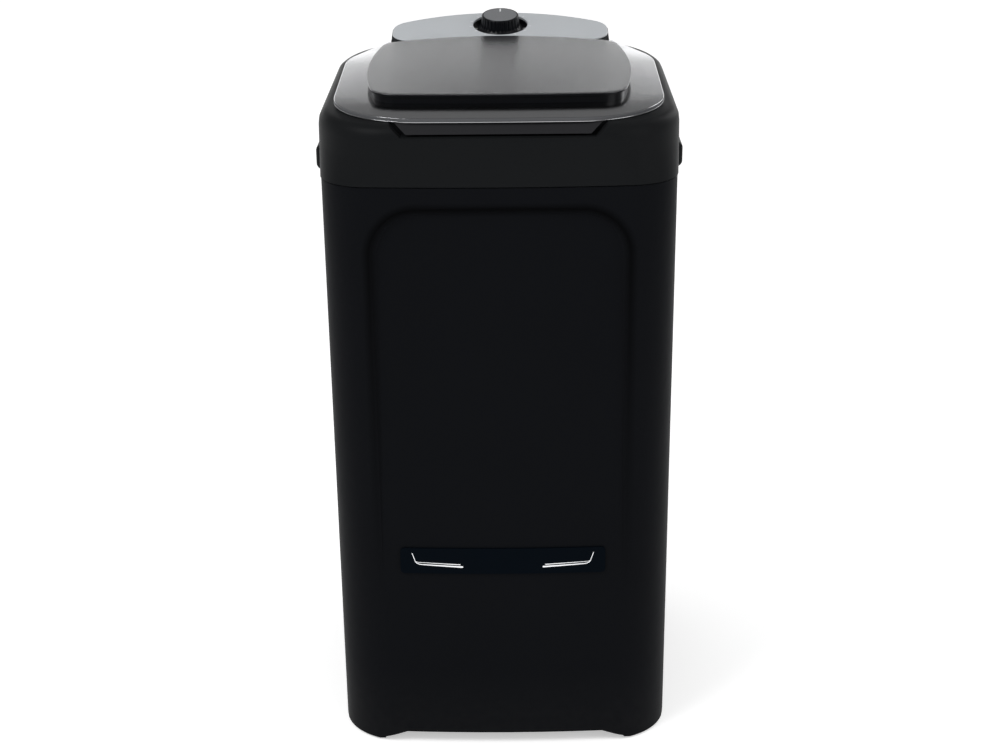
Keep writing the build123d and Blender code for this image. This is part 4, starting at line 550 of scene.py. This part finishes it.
def quarter(steps, radius):
    """Rounded edge from a wall to a top: inset = r - r * cos(angle), drop = r - r * sin(angle)."""
    angle = np.linspace(0, math.pi / 2, steps)
    return radius - radius * np.cos(angle), radius - radius * np.sin(angle)

# %% [markdown]
# ## The lid
# On the real lid a flat silver rim carries a raised grey cover on a black band. The rim's edge
# is rolled down into a lip with a fine bead, and the cover is a shallow dome that is highest at
# the rear. A box with a bevel would miss both, so each piece is a section, a list of insets and
# heights, carried round its outline. All of it lies on a plane that leans a little forward.

# %% Lid plane and outlines
lid_z, lid_lean = 941.45, math.radians(2.88)


def on_lid(line, height):
    """Place a plan line at a height over the leaning plane: y and height turn together by the lean."""
    height = np.broadcast_to(height, line.shape[:1])
    return np.column_stack([line[:, 0], line[:, 1] * math.cos(lid_lean) - height * math.sin(lid_lean),
                            lid_z + line[:, 1] * math.sin(lid_lean) + height * math.cos(lid_lean)])


def rim_line(inset):
    """Outer edge of the rim: bowed front, long sides that draw in to two tails, hollow rear between them."""
    half, corner, tail, root = 225 - inset, inset - 233, 166.4 + inset, 132 - inset
    slope = math.atan2(58.6, 117)
    tip = 203 - inset * (1 / math.sin(slope) + 1 / math.tan(slope))
    right = [(half, corner), (half, 86), (tail, tip), (tail, root)]
    left = [(-x, y) for x, y in right[::-1]]
    return outline([left[-1], *right, *left[:-1]], [5, 0, 0, 0, 20, 0, 0, 0],
                   [116 - inset, 116 - inset, 120, 1.2, 5, 5, 1.2, 120])


def cover_line(inset):
    """Edge of the raised middle: four sides that all bow outward, with round corners."""
    half, corner, rear, back = 168 - inset, inset - 162, 152 - inset, 170 - inset
    root = rear - 20.9
    return outline([(-half, corner), (half, corner), (back, root), (-back, root)],
                   [6, 16.5, 20.9, 16.5], [38 - inset, 38 - inset, 22, 22], side_steps=44)


crown_height, crown_half = 4.6, 172      # rise at the middle of the rear, half the dome's width
crown_front, crown_run = -168, 320       # y where the dome starts, and its run to the rear


def crown(line):
    """Dome of the cover: height * (1 - (x / half)^2) * (1 - s^2), s falling from 1 in front to 0 behind."""
    share = np.clip((line[:, 1] - crown_front) / crown_run, 0, 1)
    return crown_height * np.clip(1 - (line[:, 0] / crown_half) ** 2, 0, 1) * (1 - (1 - share) ** 2)


print("rim points:", len(rim_line(0)), "cover points:", len(cover_line(0)))

# %% Rim
def rim_section(line):
    """Insets and heights of the rim's edge: underside, lip, bead, wall, rounded top, all as rings."""
    x, y = np.abs(line[:, 0]), line[:, 1]
    keep = np.clip(np.maximum((x - 186.4) / 6, (124 - y) / 10), 0, 1)   # no lip beside the panel
    low, part = -3 - 3 * keep, 0.4 + 0.6 * keep
    heights = [np.full(len(x), -3.0), low + 0.3 * keep, low, low, low + 0.35 * part, low + 0.9 * part,
               low + 1.4 * part, low + 1.7 * part]
    turned, sunk = quarter(8, 1.2)
    return ([2.6, 2.4, 2.0, 0.6, 0.1, 0.0, 0.15, 0.5, *(0.5 + turned)],
            heights + [np.full(len(x), -depth) for depth in sunk])


insets, heights = rim_section(rim_line(0))
rings = [on_lid(rim_line(inset), height) for inset, height in zip(insets, heights)]
window = cover_line(12.5)
around, hole = len(rings[0]), len(window)
start, step = len(rings) * around, np.arange(hole)
wall = np.column_stack([start + step, start + (step + 1) % hole, start + hole + (step + 1) % hole,
                        start + hole + step]).tolist()
plates = [flat_plate(rim_line(insets[-1]), window, start - around, start, True),
          flat_plate(rim_line(insets[0]), window, 0, start + hole, False), wall]
rim = skin("rim", rings, "silver_paint", "lid", ["lid_frame"],
           extra=np.vstack([on_lid(window, 0), on_lid(window, -3)]), plates=plates)
rim.data.materials.append(finishes["rim_lip"])
# The lip, its underside and the wall up into the rounded top take the dark lip finish: painted shade in place
# of the silver's reflection.
strip = np.zeros(len(rim.data.polygons), dtype=np.int32)
strip[:4 * around] = 1                # underside and lip
strip[6 * around:11 * around] = 1     # the wall is dark between the bead and the rounded top
rim.data.polygons.foreach_set("material_index", strip)

# %% Band under the cover
band_top = 10.0
outer, inner = cover_line(4), cover_line(6.5)
rings = [on_lid(cover_line(12.5), 0.02), on_lid(outer, 0.02), on_lid(outer, band_top + crown(outer)),
         on_lid(inner, band_top + crown(inner)), on_lid(inner, 2.0), on_lid(cover_line(12.5), 2.0)]
skin("band", rings, "black_plastic", "lid", ["lid_band"], loop=True)

# %% Cover
turned, sunk = quarter(6, 0.9)
below = [(9.3, 10.0), (9.3, 6.0), (6.8, 6.0), (6.8, 10.0), (0.9, 10.0), (0.3, 10.3), (0.2, 12.0)]
cap_top = 13.0
edge = [(inset, cap_top - drop) for inset, drop in zip(turned, sunk)]
middle = np.array([0.0, -8.0])


def cover_ring(line, height):
    """Ring of the cover: the line lifted by the dome."""
    return on_lid(line, height + crown(line))


rings = [cover_ring(middle + (cover_line(9.3) - middle) * share, 10.0) for share in (0.05, 0.5)]
rings += [cover_ring(cover_line(inset), height) for inset, height in below + edge]
rings += [cover_ring(middle + (cover_line(edge[-1][0]) - middle) * share, cap_top)
          for share in np.linspace(1, 0.03, 24)[1:]]
cover = skin("cover", rings, "cover_paint", "lid", ["lid_cover"], poles=True)
cover.data.materials.append(finishes["black_plastic"])
dark = np.zeros(len(cover.data.polygons), dtype=np.int32)
around = len(rings[0])
dark[:(2 + len(below)) * around] = 1     # the cap's wall is black, only its top is painted
cover.data.polygons.foreach_set("material_index", dark)

# %% [markdown]
# ## The timer knob
# The real knob is one black moulding with fine grooves that a wet hand can grip, and a disc let
# into its top; the disc is grey here, and its grey is partly painted sheen, standing in for the
# light the top reflects. Cutting grooves with twenty-eight cylinders leaves ragged edges. Here the
# radius is a function of the height and of the angle, so each groove fades out at its ends.

# %% Knob
grooves, knob_lean = 28, math.radians(12.1)
levels = np.array([
    # height, radius, groove depth
    (-8.2, 20.0, 0.0), (-8.2, 32.6, 0.0), (-7.8, 33.0, 0.0), (-5.6, 33.0, 0.0), (-5.0, 32.5, 0.0),
    (-3.4, 30.9, 0.0), (-1.6, 29.8, 0.1), (-0.8, 29.5, 0.9), (0.4, 29.4, 1.35), (4.0, 29.0, 1.4),
    (9.0, 28.5, 1.4), (12.6, 28.1, 1.35), (13.8, 27.9, 0.9), (14.5, 27.6, 0.3), (15.1, 27.2, 0.0),
    (15.4, 26.7, 0.0), (15.5, 26.2, 0.0), (15.5, 25.7, 0.0), (15.2, 25.5, 0.0), (15.2, 25.2, 0.0),
    (15.5, 25.0, 0.0), (15.5, 18.0, 0.0), (15.5, 8.0, 0.0), (15.5, 1.0, 0.0)])
turn = np.linspace(0, 2 * math.pi, grooves * 14, endpoint=False)
groove = np.clip(np.cos(grooves * turn), 0, 1) ** 1.4
radius = levels[:, 1:2] - levels[:, 2:3] * groove
height = np.broadcast_to(levels[:, 0:1], radius.shape)
x, y = radius * np.cos(turn), radius * np.sin(turn)
rings = np.stack([x, 209.7 + y * math.cos(knob_lean) - height * math.sin(knob_lean),
                  973.3 + y * math.sin(knob_lean) + height * math.cos(knob_lean)], axis=-1)
knob = skin("knob", rings, "black_plastic", "timer_dial", ["timer_knob"], poles=True)
# The grey cap finish is partly painted sheen, set so the top shows the light it reflects.
knob.data.materials.append(finishes["knob_cap"])
cap_and_sheen = np.zeros(len(knob.data.polygons), dtype=np.int32)
cap_from = 19                         # the grey cap starts at this row of the table above
cap_and_sheen[cap_from * len(turn):(len(levels) - 1) * len(turn)] = 1
cap_and_sheen[-len(turn):] = 1
knob.data.polygons.foreach_set("material_index", cap_and_sheen)

# %% [markdown]
# ## The badge's stripes
# Two fine foil stripes lie along the foot of the badge on each side, and turn up together at their
# outer ends. The drawn ones bend in straight steps at one width. Here each is a thin ribbon along a
# rounded route that narrows towards its tip, laid on the badge's bowed face: the depth of that
# face is fitted to the drawn stripes.

# %% Stripes
drawn = np.array([tuple(point.co) for point in frame["nodes"]["badge_stripes"].data.vertices]) * 1000


def powers(x, z):
    """Terms of the fitted depth: 1, x^2, x^4, z, z^2 and x^2 * z, in decimetres."""
    x, z = x / 100, (z - 298) / 100
    return np.column_stack([np.ones_like(x), x ** 2, x ** 4, z, z ** 2, x ** 2 * z])


depth = np.linalg.lstsq(powers(drawn[:, 0], drawn[:, 2]), drawn[:, 1], rcond=None)[0]
print("depth fitted within", abs(powers(drawn[:, 0], drawn[:, 2]) @ depth - drawn[:, 1]).max(), "mm")


def bent(tip, corner, end, lead, trail):
    """Route (x, z) from tip to end; its corner is (1 - s)^2 * a + 2 * s * (1 - s) * corner + s^2 * b."""
    tip, corner, end = (np.array(point, float) for point in (tip, corner, end))
    a, b = corner + (tip - corner) * lead, corner + (end - corner) * trail
    s = np.linspace(0, 1, 15)[:, None]
    arc = (1 - s) ** 2 * a + 2 * s * (1 - s) * corner + s ** 2 * b
    leg, foot = np.linspace(tip, a, 7)[:-1], np.linspace(b, end, 22)[1:]
    return np.vstack([leg, arc, foot])


def ribbon(route, tip_width, end_width, side):
    """Rings of four points round a route: half a width to each side, before and behind the badge's face."""
    ahead = np.gradient(route, axis=0)
    ahead /= np.linalg.norm(ahead, axis=1, keepdims=True)
    run = np.concatenate([[0], np.cumsum(np.linalg.norm(np.diff(route, axis=0), axis=1))])
    half = (tip_width + (end_width - tip_width) * run / run[-1])[:, None] / 2
    across = half * ahead[:, ::-1] * (1, -1)
    edges = [route + across, route - across]
    rings = [np.column_stack([side * edge[:, 0], powers(edge[:, 0], edge[:, 1]) @ depth + shift, edge[:, 1]])
             for edge, shift in ((edges[0], -0.15), (edges[1], -0.15), (edges[1], 0.15), (edges[0], 0.15))]
    return np.stack(rings[::-side], axis=1)


points, faces = [], []
for side in (1, -1):
    for route, tip_width, end_width in (
            (bent((128.3, 310.6), (122.5, 293.6), (56.4, 289.7), 0.30, 0.12), 0.9, 2.4),
            (bent((125.2, 301.6), (123.6, 296.7), (60.0, 293.3), 0.60, 0.08), 0.6, 1.3)):
        rings = ribbon(route, tip_width, end_width, side)
        base, count = len(np.vstack(points)) if points else 0, len(rings)
        i, j = np.arange(count - 1)[:, None] * 4 + base, np.arange(4)[None, :]
        beside = (j + 1) % 4
        faces += np.stack([i + j, i + beside, i + 4 + beside, i + 4 + j], axis=-1).reshape(-1, 4).tolist()
        faces += [[base + 3, base + 2, base + 1, base], [base + 4 * (count - 1) + k for k in range(4)]]
        points.append(rings.reshape(-1, 3))
mesh = bpy.data.meshes.new("stripes")
mesh.from_pydata((np.vstack(points) / 1000).tolist(), [], faces)
mesh.materials.append(finishes[slot_of["badge_stripes"]])
stripes = bpy.data.objects.new("stripes", mesh)
bpy.context.scene.collection.objects.link(stripes)
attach(stripes, "machine")
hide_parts("badge_stripes")
check = bmesh.new()
check.from_mesh(mesh)
print("stripes faces:", len(mesh.polygons), "volume mm3:", check.calc_volume(signed=True) * 1e9,
      "edges that don't match:", sum(not edge.is_contiguous for edge in check.edges))
check.free()

# %% [markdown]
# ## Softer shading on the big mouldings
# The cabinet, the collar and a few other mouldings have the right shape already, but the drawn
# model comes as loose triangles, so light breaks at every facet of a rounded shoulder. A copy
# whose doubled points are merged can be shaded smooth, with only the true corners kept sharp.

# %% Smooth copies
def smooth_copy(node_name, keep_sharp):
    """Copy of a drawn node with its doubled points merged and its gentle bends shaded smooth."""
    node = frame["nodes"][node_name]
    mesh = node.data.copy()
    mesh.name = node_name + "_smooth"
    work = bmesh.new()
    work.from_mesh(mesh)
    bmesh.ops.remove_doubles(work, verts=work.verts, dist=0.00001)
    work.to_mesh(mesh)
    work.free()
    if mesh.has_custom_normals:
        mesh.attributes.remove(mesh.attributes["custom_normal"])
    mesh.shade_smooth()
    mesh.set_sharp_from_angle(angle=math.radians(keep_sharp))
    piece = bpy.data.objects.new(node_name + "_smooth", mesh)
    bpy.context.scene.collection.objects.link(piece)
    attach(piece, body_of[node_name])
    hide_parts(node_name)
    return len(node.data.vertices), len(mesh.vertices)


for name, angle in (("cabinet", 30), ("top_collar", 30), ("panel_base", 30), ("panel_fascia", 35),
                    ("tub", 35), ("agitator", 35)):
    print(name, "points before and after:", smooth_copy(name, angle))
